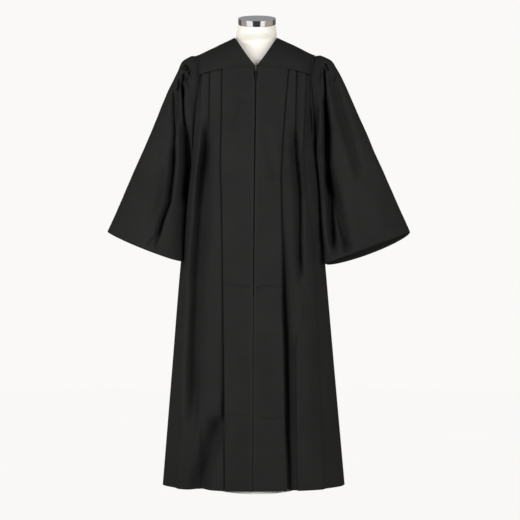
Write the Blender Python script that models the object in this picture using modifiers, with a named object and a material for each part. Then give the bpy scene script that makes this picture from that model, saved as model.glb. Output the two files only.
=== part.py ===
"""Choir robe on a limbless dress form: solids of every sewn piece and of the stand.

Metres, +Z up, the front faces -Y, +X is the viewer's right. The origin is the middle of the
base's underside.
"""

from bisect import bisect_right
from collections import namedtuple
from math import acos, cos, pi, radians, sin, sqrt

import bmesh
import bpy
from mathutils import Matrix, Vector

# ---------------------------------------------------------------- driving sizes

WALL = 0.0012           # thickness of a cloth wall
SEAM_GAP = 0.0003       # between pieces that are sewn together
HEM_Z = 0.010           # hem above the floor

# Shoulders and yoke
NECK_X = 0.064          # side of the neck opening
NECK_Z = 1.318
SHOULDER_X = 0.174      # where the shoulder line ends at the armhole
SHOULDER_Z = 1.266
V_Z = 1.2245            # foot of the V neck
V_CURVE = 1.25          # above 1 the V's edges sag
YOKE_INNER_X = 0.0065   # yoke edge at the centre front
SEAM_Z = 1.2224         # front yoke seam at the centre
SEAM_DROP = 0.020       # how much lower the seam is at the armhole
BACK_NECK_Z = 1.306
BACK_SEAM_Z = 1.175     # back yoke seam, level
UNDERARM_Z = 0.950
ARMHOLE_FRONT = 0.056   # reach of the armhole in front of the shoulder line
ARMHOLE_BACK = 0.060

# Zip
ZIP_FOOT_Z = 0.575
TAPE_WIDTH = 0.013
TAPE_WALL = 0.0010
COIL_WIDTH = 0.0042
COIL_WALL = 0.0016
SLIDER_Z = 1.203
SLIDER_WIDTH = 0.0085
SLIDER_LENGTH = 0.0105
SLIDER_WALL = 0.0012
BRIDGE_RADIUS = 0.0018  # to the middle of the bridge's bar, about the tab's pivot
BRIDGE_BAR = 0.0005     # radius of the bar
TAB_WIDTH = 0.0052
TAB_LENGTH = 0.0190
TAB_WALL = 0.0011
TAB_EYE_WIDTH = 0.0030
TAB_EYE_LENGTH = 0.0028

# Dress form and stand
NECK_TILT = radians(18.4)
CAP_RADIUS = 0.0550
CAP_HEIGHT = 0.018
CAP_FOOT = Vector((0.003, -0.0245, 1.3556))
POLE_RADIUS = 0.0140
BASE_RADIUS = 0.125
BASE_THICKNESS = 0.008

# Body of the robe by height: x of the left side, the right side and the centre front line, how
# far the cloth stands in front of and behind the shoulder line, and how boxy its outline is.
Body = namedtuple("Body", "z left right centre front back boxy")
BODY = (
    Body(1.240, -0.1625, 0.1562, 0.0000, 0.1030, 0.0880, 2.2),
    Body(1.202, -0.1645, 0.1580, -0.0004, 0.1060, 0.0930, 2.2),
    Body(1.050, -0.1790, 0.1695, -0.0022, 0.1260, 0.1040, 2.2),
    Body(0.850, -0.2000, 0.1855, -0.0045, 0.1300, 0.1120, 2.2),
    Body(0.650, -0.2214, 0.2035, -0.0060, 0.1320, 0.1240, 2.3),
    Body(0.350, -0.2458, 0.2296, -0.0074, 0.1350, 0.1400, 2.5),
    Body(HEM_Z, -0.2734, 0.2600, -0.0082, 0.1370, 0.1550, 2.8),
)

# Half the opening between the two fronts.
Slit = namedtuple("Slit", "z half")
SLIT = (
    Slit(1.240, 0.0064),
    Slit(1.200, 0.0056),
    Slit(1.180, 0.0030),
    Slit(1.130, 0.0018),
    Slit(1.050, 0.0008),
    Slit(0.280, 0.0008),
    Slit(HEM_Z, 0.0036),
)

# One pleat is a short table down its length. edge: its visible fold, from the centre line.
# tuck: cloth folded under it (negative: the fold faces the centre). step: how much deeper the
# cloth lies past the fold. lift: depth at which the cloth reaches the fold.
Cut = namedtuple("Cut", "z edge tuck step lift")
FRONT_PLEATS = {
    "left": (
        (
            Cut(1.210, 0.0980, 0.024, 0.0040, 0.000),
            Cut(0.950, 0.0997, 0.024, 0.0060, 0.000),
            Cut(0.690, 0.0910, 0.022, 0.0090, 0.000),
            Cut(0.420, 0.0855, 0.022, 0.0140, 0.000),
            Cut(0.220, 0.0816, 0.022, 0.0200, 0.000),
            Cut(HEM_Z, 0.0800, 0.022, 0.0260, 0.000),
        ),
        (
            Cut(1.210, 0.1300, 0.018, 0.0040, 0.000),
            Cut(1.050, 0.1300, 0.018, 0.0050, 0.000),
            Cut(0.860, 0.1320, 0.000, 0.0070, 0.002),
            Cut(0.690, 0.1380, -0.002, -0.0020, 0.006),
            Cut(HEM_Z, 0.1450, -0.002, -0.0100, 0.012),
        ),
        (
            Cut(1.210, 0.1560, 0.016, 0.0040, 0.000),
            Cut(1.070, 0.1590, 0.009, 0.0050, 0.000),
            Cut(0.950, 0.1650, 0.000, 0.0040, 0.002),
            Cut(0.690, 0.1800, 0.000, 0.0080, 0.000),
            Cut(HEM_Z, 0.2050, 0.000, 0.0140, 0.000),
        ),
    ),
    "right": (
        (
            Cut(1.210, 0.0907, 0.024, 0.0040, 0.000),
            Cut(1.090, 0.0830, 0.024, 0.0046, 0.000),
            Cut(0.920, 0.0770, 0.024, 0.0070, 0.000),
            Cut(0.690, 0.0800, 0.020, 0.0180, 0.000),
            Cut(0.420, 0.0886, 0.016, 0.0360, 0.000),
            Cut(HEM_Z, 0.0924, 0.016, 0.0380, 0.000),
        ),
        (
            Cut(1.210, 0.1163, 0.018, 0.0040, 0.000),
            Cut(1.090, 0.1150, 0.015, 0.0050, 0.000),
            Cut(0.950, 0.1180, 0.006, 0.0070, 0.001),
            Cut(0.860, 0.1230, 0.000, 0.0040, 0.005),
            Cut(0.690, 0.1340, -0.010, -0.0160, 0.016),
            Cut(0.420, 0.1230, -0.014, -0.0320, 0.032),
            Cut(HEM_Z, 0.1286, -0.014, -0.0340, 0.034),
        ),
        (
            Cut(1.210, 0.1432, 0.016, 0.0040, 0.000),
            Cut(1.090, 0.1418, 0.011, 0.0050, 0.000),
            Cut(0.950, 0.1430, 0.000, 0.0050, 0.002),
            Cut(0.690, 0.1720, 0.000, 0.0060, 0.000),
            Cut(HEM_Z, 0.2050, 0.000, 0.0120, 0.000),
        ),
    ),
}
BACK_PLEATS = (
    (
        Cut(BACK_SEAM_Z, 0.0360, 0.016, 0.0040, 0.000),
        Cut(0.900, 0.0380, 0.014, 0.0060, 0.000),
        Cut(0.600, 0.0420, 0.006, 0.0120, 0.000),
        Cut(HEM_Z, 0.0500, 0.000, 0.0220, 0.000),
    ),
    (
        Cut(BACK_SEAM_Z, 0.0760, 0.016, 0.0040, 0.000),
        Cut(0.900, 0.0830, 0.014, 0.0060, 0.000),
        Cut(0.600, 0.0950, 0.004, 0.0110, 0.000),
        Cut(HEM_Z, 0.1180, 0.000, 0.0200, 0.000),
    ),
    (
        Cut(BACK_SEAM_Z, 0.1150, 0.014, 0.0040, 0.000),
        Cut(0.950, 0.1280, 0.008, 0.0050, 0.000),
        Cut(0.700, 0.1500, 0.000, 0.0060, 0.000),
        Cut(HEM_Z, 0.1880, 0.000, 0.0140, 0.000),
    ),
)
TURN = 0.0011           # how far a pleat's fold bulges past its layers
SOFT_WIDTH = 0.022      # width of a pleat that has opened out
TUCK_FULL = 0.020       # a tuck this deep is a full fold
OPENING_STEP = 0.010    # how much further apart the layers stand where a fold is opening

# Heights of the panels' rows of points, below the seam
PANEL_ROWS = (
    1.150, 1.090, 1.030, 0.980, 0.950, 0.860, 0.750, 0.630, 0.500, 0.370, 0.240, 0.120, HEM_Z
)
BACK_ROWS = (1.100, 1.020, 0.950, 0.850, 0.720, 0.560, 0.380, 0.190, HEM_Z)

# A sleeve by the share of its length: the outer line, the inner line, how far the inner line lies
# forward, and the reach of the front and back layers.
Sleeve = namedtuple("Sleeve", "along outer_x outer_z inner_x inner_z inner_y front back")
SLEEVES = {
    "left": (
        Sleeve(0.02, 0.1900, 1.2660, 0.1925, 0.9460, 0.000, 0.060, 0.062),
        Sleeve(0.16, 0.2140, 1.2510, 0.1955, 0.9400, -0.003, 0.066, 0.064),
        Sleeve(0.30, 0.2290, 1.2180, 0.1975, 0.9300, -0.008, 0.070, 0.066),
        Sleeve(0.44, 0.2560, 1.1650, 0.1990, 0.9050, -0.016, 0.070, 0.068),
        Sleeve(0.58, 0.2960, 1.0720, 0.1995, 0.8600, -0.028, 0.068, 0.070),
        Sleeve(0.72, 0.3400, 0.9700, 0.2030, 0.8040, -0.036, 0.064, 0.070),
        Sleeve(0.86, 0.3870, 0.8620, 0.2095, 0.7380, -0.040, 0.060, 0.070),
        Sleeve(1.00, 0.4352, 0.7510, 0.2160, 0.6640, -0.044, 0.054, 0.070),
    ),
    "right": (
        Sleeve(0.02, 0.1890, 1.2680, 0.1805, 0.9460, 0.000, 0.060, 0.062),
        Sleeve(0.16, 0.2180, 1.2540, 0.1835, 0.9400, -0.004, 0.068, 0.064),
        Sleeve(0.30, 0.2370, 1.2260, 0.1850, 0.9300, -0.014, 0.074, 0.066),
        Sleeve(0.44, 0.2640, 1.1730, 0.1845, 0.9050, -0.030, 0.072, 0.068),
        Sleeve(0.58, 0.3070, 1.0790, 0.1830, 0.8600, -0.046, 0.068, 0.070),
        Sleeve(0.72, 0.3530, 0.9740, 0.1860, 0.8040, -0.056, 0.060, 0.070),
        Sleeve(0.86, 0.4020, 0.8640, 0.1910, 0.7380, -0.062, 0.052, 0.070),
        Sleeve(1.00, 0.4528, 0.7490, 0.1990, 0.6580, -0.066, 0.046, 0.070),
    ),
}
SLEEVE_ROWS = (0.02, 0.10, 0.20, 0.31, 0.44, 0.58, 0.72, 0.86, 1.00)
# How much lower the middle of a cuff's front and back layers hangs than its ends.
Drop = namedtuple("Drop", "front back")
CUFF_DROP = {"left": Drop(0.008, 0.007), "right": Drop(0.000, 0.021)}

# Troughs down a sleeve. A course is the trough's place across the sleeve (0 inner line, 1 outer
# line) at shares of its length; width is across too.
Place = namedtuple("Place", "along across")
Trough = namedtuple("Trough", "layer width depth course")
TROUGH_FADE = 0.32      # share of the sleeve's length over which a trough starts or ends
BACK_TROUGHS = (
    Trough("back", 0.13, 0.014, (Place(0.08, 0.60), Place(0.40, 0.30), Place(1.0, 0.18))),
    Trough("back", 0.12, 0.008, (Place(0.12, 0.85), Place(0.45, 0.60), Place(1.0, 0.55))),
)
TROUGHS = {
    "left": BACK_TROUGHS + (
        Trough("front", 0.15, 0.023, (
            Place(0.04, 0.90), Place(0.22, 0.40), Place(0.45, 0.14), Place(0.80, 0.06),
        )),
        Trough("front", 0.11, 0.018, (
            Place(0.20, 0.96), Place(0.47, 0.54), Place(0.73, 0.34), Place(1.0, 0.316),
        )),
    ),
    "right": BACK_TROUGHS + (
        Trough("front", 0.15, 0.032, (
            Place(0.02, 0.92), Place(0.23, 0.56), Place(0.46, 0.31), Place(1.0, 0.165),
        )),
        Trough("front", 0.12, 0.007, (
            Place(0.25, 0.95), Place(0.45, 0.75), Place(0.60, 0.56), Place(0.85, 0.42),
        )),
    ),
}
GATHERS = 5             # flutes in the front of the sleeve's cap, and as many behind
GATHER_DEPTH = 0.0035
GATHER_REACH = 0.30     # share of the sleeve's length over which they fade

# Dress form by height: half width, front and back reach, middle, and forward tilt.
Form = namedtuple("Form", "z half front back middle tilt")
FORM = (
    Form(0.612, 0.1400, 0.0800, 0.0780, 0.000, 0.0),
    Form(0.620, 0.1520, 0.0900, 0.0880, 0.000, 0.0),
    Form(0.650, 0.1580, 0.0940, 0.0920, 0.000, 0.0),
    Form(0.720, 0.1600, 0.0960, 0.0930, 0.000, 0.0),
    Form(0.800, 0.1460, 0.0920, 0.0870, 0.000, 0.0),
    Form(0.900, 0.1220, 0.0840, 0.0780, 0.000, 0.0),
    Form(1.000, 0.1340, 0.0980, 0.0820, 0.000, 0.0),
    Form(1.080, 0.1440, 0.1080, 0.0850, 0.000, 0.0),
    Form(1.150, 0.1450, 0.0980, 0.0830, 0.000, 0.0),
    Form(1.210, 0.1480, 0.0860, 0.0780, 0.000, 0.0),
    Form(1.245, 0.1560, 0.0780, 0.0720, 0.000, 0.0),
)
RIDGE_TOP_Z = 1.3040    # the form's shoulders follow the yoke's shoulder line up to here
RIDGE_STEPS = 5
NECK = (
    Form(1.3150, 0.0605, 0.0560, 0.0450, -0.003, radians(2)),
    Form(1.3320, 0.0590, 0.0600, 0.0580, -0.011, radians(9)),
    Form(1.3440, 0.0560, 0.0560, 0.0560, -0.018, radians(14)),
    Form(1.3553, 0.0545, 0.0545, 0.0545, -0.0244, NECK_TILT),
)
NECK_SHIFT = 0.003      # the neck stands a little to the right of the pole
FORM_SEGMENTS = 32

MATERIALS = {
    "gown_cloth": ((0.022, 0.022, 0.023), 0.85, 0.0),
    "zip_tape": ((0.012, 0.012, 0.012), 0.9, 0.0),
    "zip_metal": ((0.20, 0.20, 0.21), 0.40, 0.8),
    "linen": ((0.86, 0.83, 0.78), 0.9, 0.0),
    "polished_metal": ((0.80, 0.80, 0.81), 0.12, 1.0),
    "stand_paint": ((0.80, 0.79, 0.77), 0.45, 0.0),
}

# ---------------------------------------------------------------- small tools


def smooth(t):
    """Ease from 0 to 1."""
    t = min(1.0, max(0.0, t))
    return t * t * (3 - 2 * t)


def lerp(a, b, t):
    return a + (b - a) * t


def blended(table, key):
    """The row of a table at a value of its first column, blended between the nearest rows."""
    rows = sorted(table)
    place = bisect_right([row[0] for row in rows], key)
    if place == 0:
        return rows[0]
    if place == len(rows):
        return rows[-1]
    low, high = rows[place - 1], rows[place]
    t = (key - low[0]) / (high[0] - low[0])
    return type(low)(*(lerp(a, b, t) for a, b in zip(low, high)))


def clear_scene():
    for obj in list(bpy.data.objects):
        bpy.data.objects.remove(obj, do_unlink=True)


def material(name):
    found = bpy.data.materials.get(name)
    if found:
        return found
    colour, roughness, metallic = MATERIALS[name]
    made = bpy.data.materials.new(name)
    made.use_nodes = True
    shader = made.node_tree.nodes["Principled BSDF"]
    shader.inputs["Base Color"].default_value = (*colour, 1)
    shader.inputs["Roughness"].default_value = roughness
    shader.inputs["Metallic"].default_value = metallic
    return made


def add_object(name, data, collection, finish):
    obj = bpy.data.objects.new(name, data)
    collection.objects.link(obj)
    data.materials.append(material(finish))
    return obj


def loft(name, sections, collection, finish, ring=False, capped=False):
    """A surface through sections of equal point counts; ring closes each section on itself."""
    bm = bmesh.new()
    rows = [[bm.verts.new(point) for point in section] for section in sections]
    count = len(rows[0])
    for low, high in zip(rows, rows[1:]):
        for i in range(count if ring else count - 1):
            j = (i + 1) % count
            bm.faces.new((low[i], low[j], high[j], high[i]))
    if capped:
        bm.faces.new(rows[0])
        bm.faces.new(rows[-1])
        bmesh.ops.recalc_face_normals(bm, faces=bm.faces)
    bmesh.ops.triangulate(bm, faces=bm.faces, quad_method="SHORT_EDGE")
    mesh = bpy.data.meshes.new(name)
    bm.to_mesh(mesh)
    bm.free()
    return add_object(name, mesh, collection, finish)


def give_wall(obj, thickness=WALL):
    """Turn an open surface into a wall, half to each side."""
    wall = obj.modifiers.new("wall", "SOLIDIFY")
    wall.thickness = thickness
    wall.offset = 0.0
    wall.use_rim = True
    obj.data.shade_smooth()
    return obj


def flat_outline(name, outlines, thickness, collection, finish):
    """A flat plate: the first outline is its edge and the others are holes."""
    curve = bpy.data.curves.new(name, "CURVE")
    curve.dimensions = "2D"
    curve.fill_mode = "BOTH"
    curve.extrude = thickness / 2
    for points in outlines:
        spline = curve.splines.new("POLY")
        spline.points.add(len(points) - 1)
        for point, (x, y) in zip(spline.points, points):
            point.co = (x, y, 0, 1)
        spline.use_cyclic_u = True
    return add_object(name, curve, collection, finish)


def as_mesh(obj):
    """Replace a curve object by a welded mesh object of the same name, material and place."""
    graph = bpy.context.evaluated_depsgraph_get()
    mesh = bpy.data.meshes.new_from_object(obj.evaluated_get(graph))
    bm = bmesh.new()
    bm.from_mesh(mesh)
    bmesh.ops.remove_doubles(bm, verts=bm.verts, dist=1e-6)
    bm.to_mesh(mesh)
    bm.free()
    name, place, collection = obj.name, obj.matrix_world.copy(), obj.users_collection[0]
    bpy.data.objects.remove(obj, do_unlink=True)
    made = bpy.data.objects.new(name, mesh)
    made.matrix_world = place
    collection.objects.link(made)
    return made


def turned(name, profile, segments, collection, finish):
    """A solid of revolution about Z from (radius, height) points, top to bottom."""
    mesh = bpy.data.meshes.new(name)
    verts = [(radius, 0, height) for radius, height in profile]
    mesh.from_pydata(verts, [(i, i + 1) for i in range(len(verts) - 1)], [])
    obj = add_object(name, mesh, collection, finish)
    screw = obj.modifiers.new("turn", "SCREW")
    screw.steps = screw.render_steps = segments
    screw.use_merge_vertices = True
    screw.merge_threshold = 1e-5
    return obj


def rounded_rectangle(width, bottom, top, radius, steps=4):
    """Points round a rectangle centred on x = 0 with round corners."""
    half = width / 2
    corners = (
        (half - radius, top - radius, 0),
        (radius - half, top - radius, 90),
        (radius - half, bottom + radius, 180),
        (half - radius, bottom + radius, 270),
    )
    points = []
    for x, y, start in corners:
        for i in range(steps + 1):
            angle = radians(start + 90 * i / steps)
            points.append((x + radius * cos(angle), y + radius * sin(angle)))
    return points


# ---------------------------------------------------------------- the robe's surfaces


def side_reach(side, z):
    """Distance from the centre line to the robe's side, and the sign of x on that side."""
    body = blended(BODY, z)
    if side == "left":
        return body.centre - body.left, -1
    return body.right - body.centre, 1


def seam_height(reach):
    """Height of the front yoke seam at a share of the way to the armhole."""
    return SEAM_Z - SEAM_DROP * reach * reach


def armhole_depth(z, front):
    """How far the armhole's edge lies in front of or behind the shoulder line, below the yoke."""
    deepest, top = (ARMHOLE_FRONT, SEAM_Z - SEAM_DROP) if front else (ARMHOLE_BACK, BACK_SEAM_Z)
    if z <= UNDERARM_Z:
        return 0.0
    share = min(1.0, max(0.0, (top - z) / (top - UNDERARM_Z)))
    return deepest * sqrt(1 - share * share)


def body_depth(reach, z, front):
    """Depth of the robe's smooth outline at a share of the way from the centre to the side."""
    body = blended(BODY, z)
    middle = body.front if front else body.back
    edge = armhole_depth(z, front)
    return edge + (middle - edge) * sqrt(max(0.0, 1 - min(1.0, reach) ** body.boxy))


def pleat_points(cut, slope):
    """Six (distance, depth) points through one pleat, from its near layer to its far layer.

    slope is the near layer's own fall per metre, which the cloth tucked under it shares.
    """
    folded = smooth(abs(cut.tuck) / TUCK_FULL)
    opening = OPENING_STEP * 4 * folded * (1 - folded) * (1 if cut.tuck > 0 else -1)
    if cut.tuck >= 0:
        across = (-TURN, 0, -TURN, TURN - cut.tuck, -cut.tuck, TURN - cut.tuck)
    else:
        across = (-cut.tuck - TURN, -cut.tuck, -cut.tuck - TURN, TURN, 0, TURN)
    deep = (0, 0.25, 0.5, 0.5, 0.75, 1)
    soft_deep = (0, 0.1, 0.35, 0.65, 0.9, 1)
    points = []
    for i in range(6):
        offset = lerp(SOFT_WIDTH * (i / 5 - 0.5), across[i], folded)
        depth = cut.lift + (cut.step + opening) * lerp(soft_deep[i], deep[i], folded)
        points.append((cut.edge + offset, depth + slope * min(0.0, offset) * folded))
    return points


def panel_path(side, z, pleats, start, front, layer_points=(3, 1, 1), side_points=7):
    """(distance, y) points of a pleated panel at one height, from the centre out to the side."""
    reach, _ = side_reach(side, z)
    path = [(start, 0.0)]
    for pleat, between in zip(pleats, layer_points):
        cut = blended(pleat, z)
        first = path[-1]
        if len(path) > 1:
            first = (max(p[0] for p in path[-6:]) + 2 * TURN, first[1])
            path.append(first)
        slope = min(0.0, (cut.lift - first[1]) / max(0.004, cut.edge - first[0]))
        points = pleat_points(cut, slope)
        for i in range(1, between + 1):
            t = i / (between + 1)
            path.append((lerp(first[0], points[0][0], t), lerp(first[1], points[0][1], t)))
        path += points
    last = path[-1]
    past_fold = (min(max(p[0] for p in path[-6:]) + 2 * TURN, reach - 0.004), last[1])
    path.append(past_fold)
    for i in range(1, side_points + 1):
        t = i / side_points
        path.append((lerp(past_fold[0], reach, sin(pi / 2 * t)), last[1] * (1 - smooth(t * 1.2))))
    sign = -1 if front else 1
    seam = SEAM_GAP / 2 + WALL * 0.1
    return [(d, sign * max(seam, body_depth(d / reach, z, front) - deep)) for d, deep in path]


def front_panel(side, collection):
    """One front: pleated into the yoke seam, open along the zip, down to the hem."""
    sections = []
    for row, z in enumerate((SEAM_Z,) + PANEL_ROWS):
        start = blended(SLIT, z).half
        reach, sign = side_reach(side, z)
        centre = blended(BODY, z).centre
        section = []
        for distance, y in panel_path(side, z, FRONT_PLEATS[side], start, True):
            height = z
            if row == 0:
                height = seam_height(min(1, distance / reach)) - SEAM_GAP
            section.append((centre + sign * distance, y, height))
        sections.append(section if side == "right" else section[::-1])
    return give_wall(loft("front_" + side, sections, collection, "gown_cloth"))


def back_panel(collection):
    """The back: one panel, pleated into the back yoke on both sides of a flat middle."""
    sections = []
    for z in (BACK_SEAM_Z - SEAM_GAP,) + BACK_ROWS:
        centre = blended(BODY, z).centre
        halves = {}
        for side in ("left", "right"):
            _, sign = side_reach(side, z)
            path = panel_path(side, z, BACK_PLEATS, 0.0, False, (1, 1, 1), 6)
            halves[side] = [(centre + sign * distance, y, z) for distance, y in path]
        sections.append(halves["right"][::-1] + halves["left"][1:])
    return give_wall(loft("back", sections, collection, "gown_cloth"))


def shoulder_height(x):
    """Height of the shoulder line at a distance from the middle; it runs on above the V."""
    slope = (NECK_Z - SHOULDER_Z) / (SHOULDER_X - NECK_X)
    return NECK_Z + slope * (NECK_X - x)


def yoke_edge(side, turn):
    """Distance of the yoke's armhole edge at an angle from the shoulder line (0) to the seam (90)."""
    body = blended(BODY, SEAM_Z - SEAM_DROP)
    at_seam = -body.left if side == "left" else body.right
    return lerp(at_seam, SHOULDER_X, cos(turn))


def yoke_point(side, x, turn, front):
    """A point of the yoke at distance x, an angle turn down from the shoulder line."""
    body = blended(BODY, SEAM_Z - SEAM_DROP)
    at_seam = -body.left if side == "left" else body.right
    reach = min(1.0, x / yoke_edge(side, turn))
    seam = seam_height(reach) if front else BACK_SEAM_Z
    deepest = body_depth(min(1.0, x / at_seam) if reach < 1 else 1.0, seam, front)
    top = shoulder_height(x)
    sign = -1 if side == "left" else 1
    facing = -1 if front else 1
    return Vector((sign * x, facing * deepest * sin(turn), seam + (top - seam) * cos(turn)))


def neckline_turn(x, front):
    """Angle at which the neck opening cuts the yoke at distance x."""
    if x >= NECK_X:
        return 0.0
    reach = x / SHOULDER_X
    if front:
        seam = seam_height(reach)
        edge = V_Z + (NECK_Z - V_Z) * (x / NECK_X) ** V_CURVE
    else:
        seam = BACK_SEAM_Z
        edge = BACK_NECK_Z + (NECK_Z - BACK_NECK_Z) * (x / NECK_X) ** 2
    share = (edge - seam) / (shoulder_height(x) - seam)
    return acos(min(1.0, max(-1.0, share)))


def yoke_half(side, front, columns, rows):
    """Columns of points over half a yoke, from the centre to the armhole, each from top to seam."""
    half = []
    for x in columns:
        share = x / SHOULDER_X
        top = neckline_turn(x, front)
        column = []
        for i in range(rows + 1):
            turn = lerp(top, pi / 2, i / rows)
            reach = x if share < 0.5 else lerp(x, yoke_edge(side, turn) * share, (share - 0.5) * 2)
            point = yoke_point(side, reach, turn, front)
            if x >= NECK_X and i == 0:
                point.y += -SEAM_GAP if front else SEAM_GAP
            column.append(point)
        half.append(column)
    return half


def yoke_columns(first):
    """Distances of the yoke's columns of points: one stands exactly at the side of the neck."""
    inner = [lerp(first, NECK_X, sin(pi / 2 * i / 6)) for i in range(7)]
    return inner + [lerp(NECK_X, SHOULDER_X, i / 5) for i in range(1, 6)]


def front_yoke(side, collection):
    columns = yoke_half(side, True, yoke_columns(YOKE_INNER_X), 6)
    if side == "right":
        columns = columns[::-1]
    return give_wall(loft("yoke_front_" + side, columns, collection, "gown_cloth"))


def back_yoke(collection):
    left = yoke_half("left", False, yoke_columns(0.0), 6)
    right = yoke_half("right", False, yoke_columns(0.0), 6)
    return give_wall(loft("yoke_back", right[::-1] + left[1:], collection, "gown_cloth"))


# ---------------------------------------------------------------- sleeves


def armhole_point(side, turn):
    """A point of the armhole; turn runs from the shoulder (0) over the front (90) and under (180)."""
    front = sin(turn) >= 0
    seam = SEAM_Z - SEAM_DROP if front else BACK_SEAM_Z
    reach = ARMHOLE_FRONT if front else ARMHOLE_BACK
    span = SHOULDER_Z - seam if cos(turn) >= 0 else seam - UNDERARM_Z
    z = seam + span * cos(turn)
    if cos(turn) >= 0:
        x = yoke_edge(side, acos(min(1, cos(turn))))
    else:
        body = blended(BODY, z)
        x = -body.left if side == "left" else body.right
    return Vector((x + WALL / 2 + 2 * SEAM_GAP, -reach * sin(turn), z))


def trough_depth(side, front, across, along):
    """How far the folds press the sleeve's layer in at a place across and along it."""
    total = 0.0
    for trough in TROUGHS[side]:
        start, end = trough.course[0].along, trough.course[-1].along
        if (trough.layer == "front") != front or not start < along <= end:
            continue
        strength = smooth((along - start) / TROUGH_FADE)
        if end < 1.0:
            strength *= smooth((end - along) / TROUGH_FADE)
        offset = (across - blended(trough.course, along).across) / trough.width
        total += trough.depth * strength * max(0.0, 1 - offset * offset) ** 2
    return total


def sleeve_point(side, along, turn):
    """A point of the sleeve at a share of its length and an angle round it, as on the armhole."""
    section = blended(SLEEVES[side], along)
    across = (1 + cos(turn)) / 2
    front = sin(turn) >= 0
    x = lerp(section.inner_x, section.outer_x, across)
    z = lerp(section.inner_z, section.outer_z, across)
    reach = section.front if front else section.back
    pressed = trough_depth(side, front, across, along) * (1 if front else -1)
    y = section.inner_y * (1 - across) - reach * sin(turn) + pressed
    swell = smooth(1 - along / GATHER_REACH) * max(0.0, cos(turn)) ** 0.5 * abs(sin(turn)) ** 0.5
    flute = GATHER_DEPTH * swell * cos(2 * GATHERS * turn)
    y -= flute * sin(turn)
    x += flute * 0.4
    z += flute * 0.6 * max(0.0, cos(turn))
    if along == 1.0:
        down = Vector((section.outer_z - section.inner_z, section.inner_x - section.outer_x))
        down.normalize()
        drop = (CUFF_DROP[side].front if front else CUFF_DROP[side].back) * abs(sin(turn))
        x += down.x * drop
        z += down.y * drop
    return Vector((x, y, z))


def sleeve(side, collection):
    """A bell sleeve from the gathered armhole to the open cuff."""
    turns = [radians(a) for a in range(0, 180, 9)] + [radians(a) for a in range(180, 360, 18)]
    mirror = Vector((-1 if side == "left" else 1, 1, 1))
    sections = [[armhole_point(side, turn) * mirror for turn in turns]]
    for along in SLEEVE_ROWS:
        sections.append([sleeve_point(side, along, turn) * mirror for turn in turns])
    if side == "left":
        sections = [section[::-1] for section in sections]
    return give_wall(loft("sleeve_" + side, sections, collection, "gown_cloth", ring=True))


# ---------------------------------------------------------------- zip


def zip_line(z):
    """Middle surface of the fronts where they meet, straight between the fronts' rows."""
    rows = (SEAM_Z,) + PANEL_ROWS
    above = max(i for i, row in enumerate(rows) if i == 0 or row >= z)
    high, low = (
        Vector((blended(BODY, row).centre, -body_depth(0.0, row, True), row))
        for row in rows[above:above + 2]
    )
    return high.lerp(low, (high.z - z) / (high.z - low.z))


def zip_slope():
    """Angle by which the cloth under the slider leans forward going down."""
    run = zip_line(SLIDER_Z) - zip_line(SLIDER_Z - 0.03)
    return Vector((0, 1)).angle(Vector((run.y, run.z)))


def zip_strip(name, inner, outer, behind, wall, top, collection, finish):
    """A strip along the zip between two distances from it, behind the fronts' middle surface."""
    sections = []
    for z in [top] + [z for z in PANEL_ROWS if z > ZIP_FOOT_Z + 0.02] + [ZIP_FOOT_Z]:
        point = zip_line(z)
        sections.append([(point.x + x, point.y + behind, z) for x in (inner, (inner + outer) / 2, outer)])
    return give_wall(loft(name, sections, collection, finish), wall)


def zip_tapes(collection):
    behind = WALL / 2 + SEAM_GAP + COIL_WALL / 2 + 0.0002
    inner = COIL_WIDTH / 2 + SEAM_GAP
    top = SEAM_Z + 0.004
    zip_strip("zip_tape_left", -inner - TAPE_WIDTH, -inner, behind, TAPE_WALL, top, collection, "zip_tape")
    zip_strip("zip_tape_right", inner, inner + TAPE_WIDTH, behind, TAPE_WALL, top, collection, "zip_tape")
    half = COIL_WIDTH / 2
    zip_strip("zip_coil", -half, half, behind, COIL_WALL, SLIDER_Z + 0.004, collection, "zip_tape")


def slider_frame():
    """Matrix whose Y runs up the zip, Z stands out of it, and origin is the tab's pivot."""
    behind = WALL / 2 + SEAM_GAP + COIL_WALL / 2 + 0.0002
    out = COIL_WALL / 2 + 2 * SEAM_GAP + SLIDER_WALL + TAB_WALL + 2 * SEAM_GAP
    lean = Matrix.Rotation(radians(90) - zip_slope(), 4, "X")
    origin = zip_line(SLIDER_Z) + Vector((0, behind, 0))
    return Matrix.Translation(origin) @ lean @ Matrix.Translation((0, 0, out))


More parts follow.
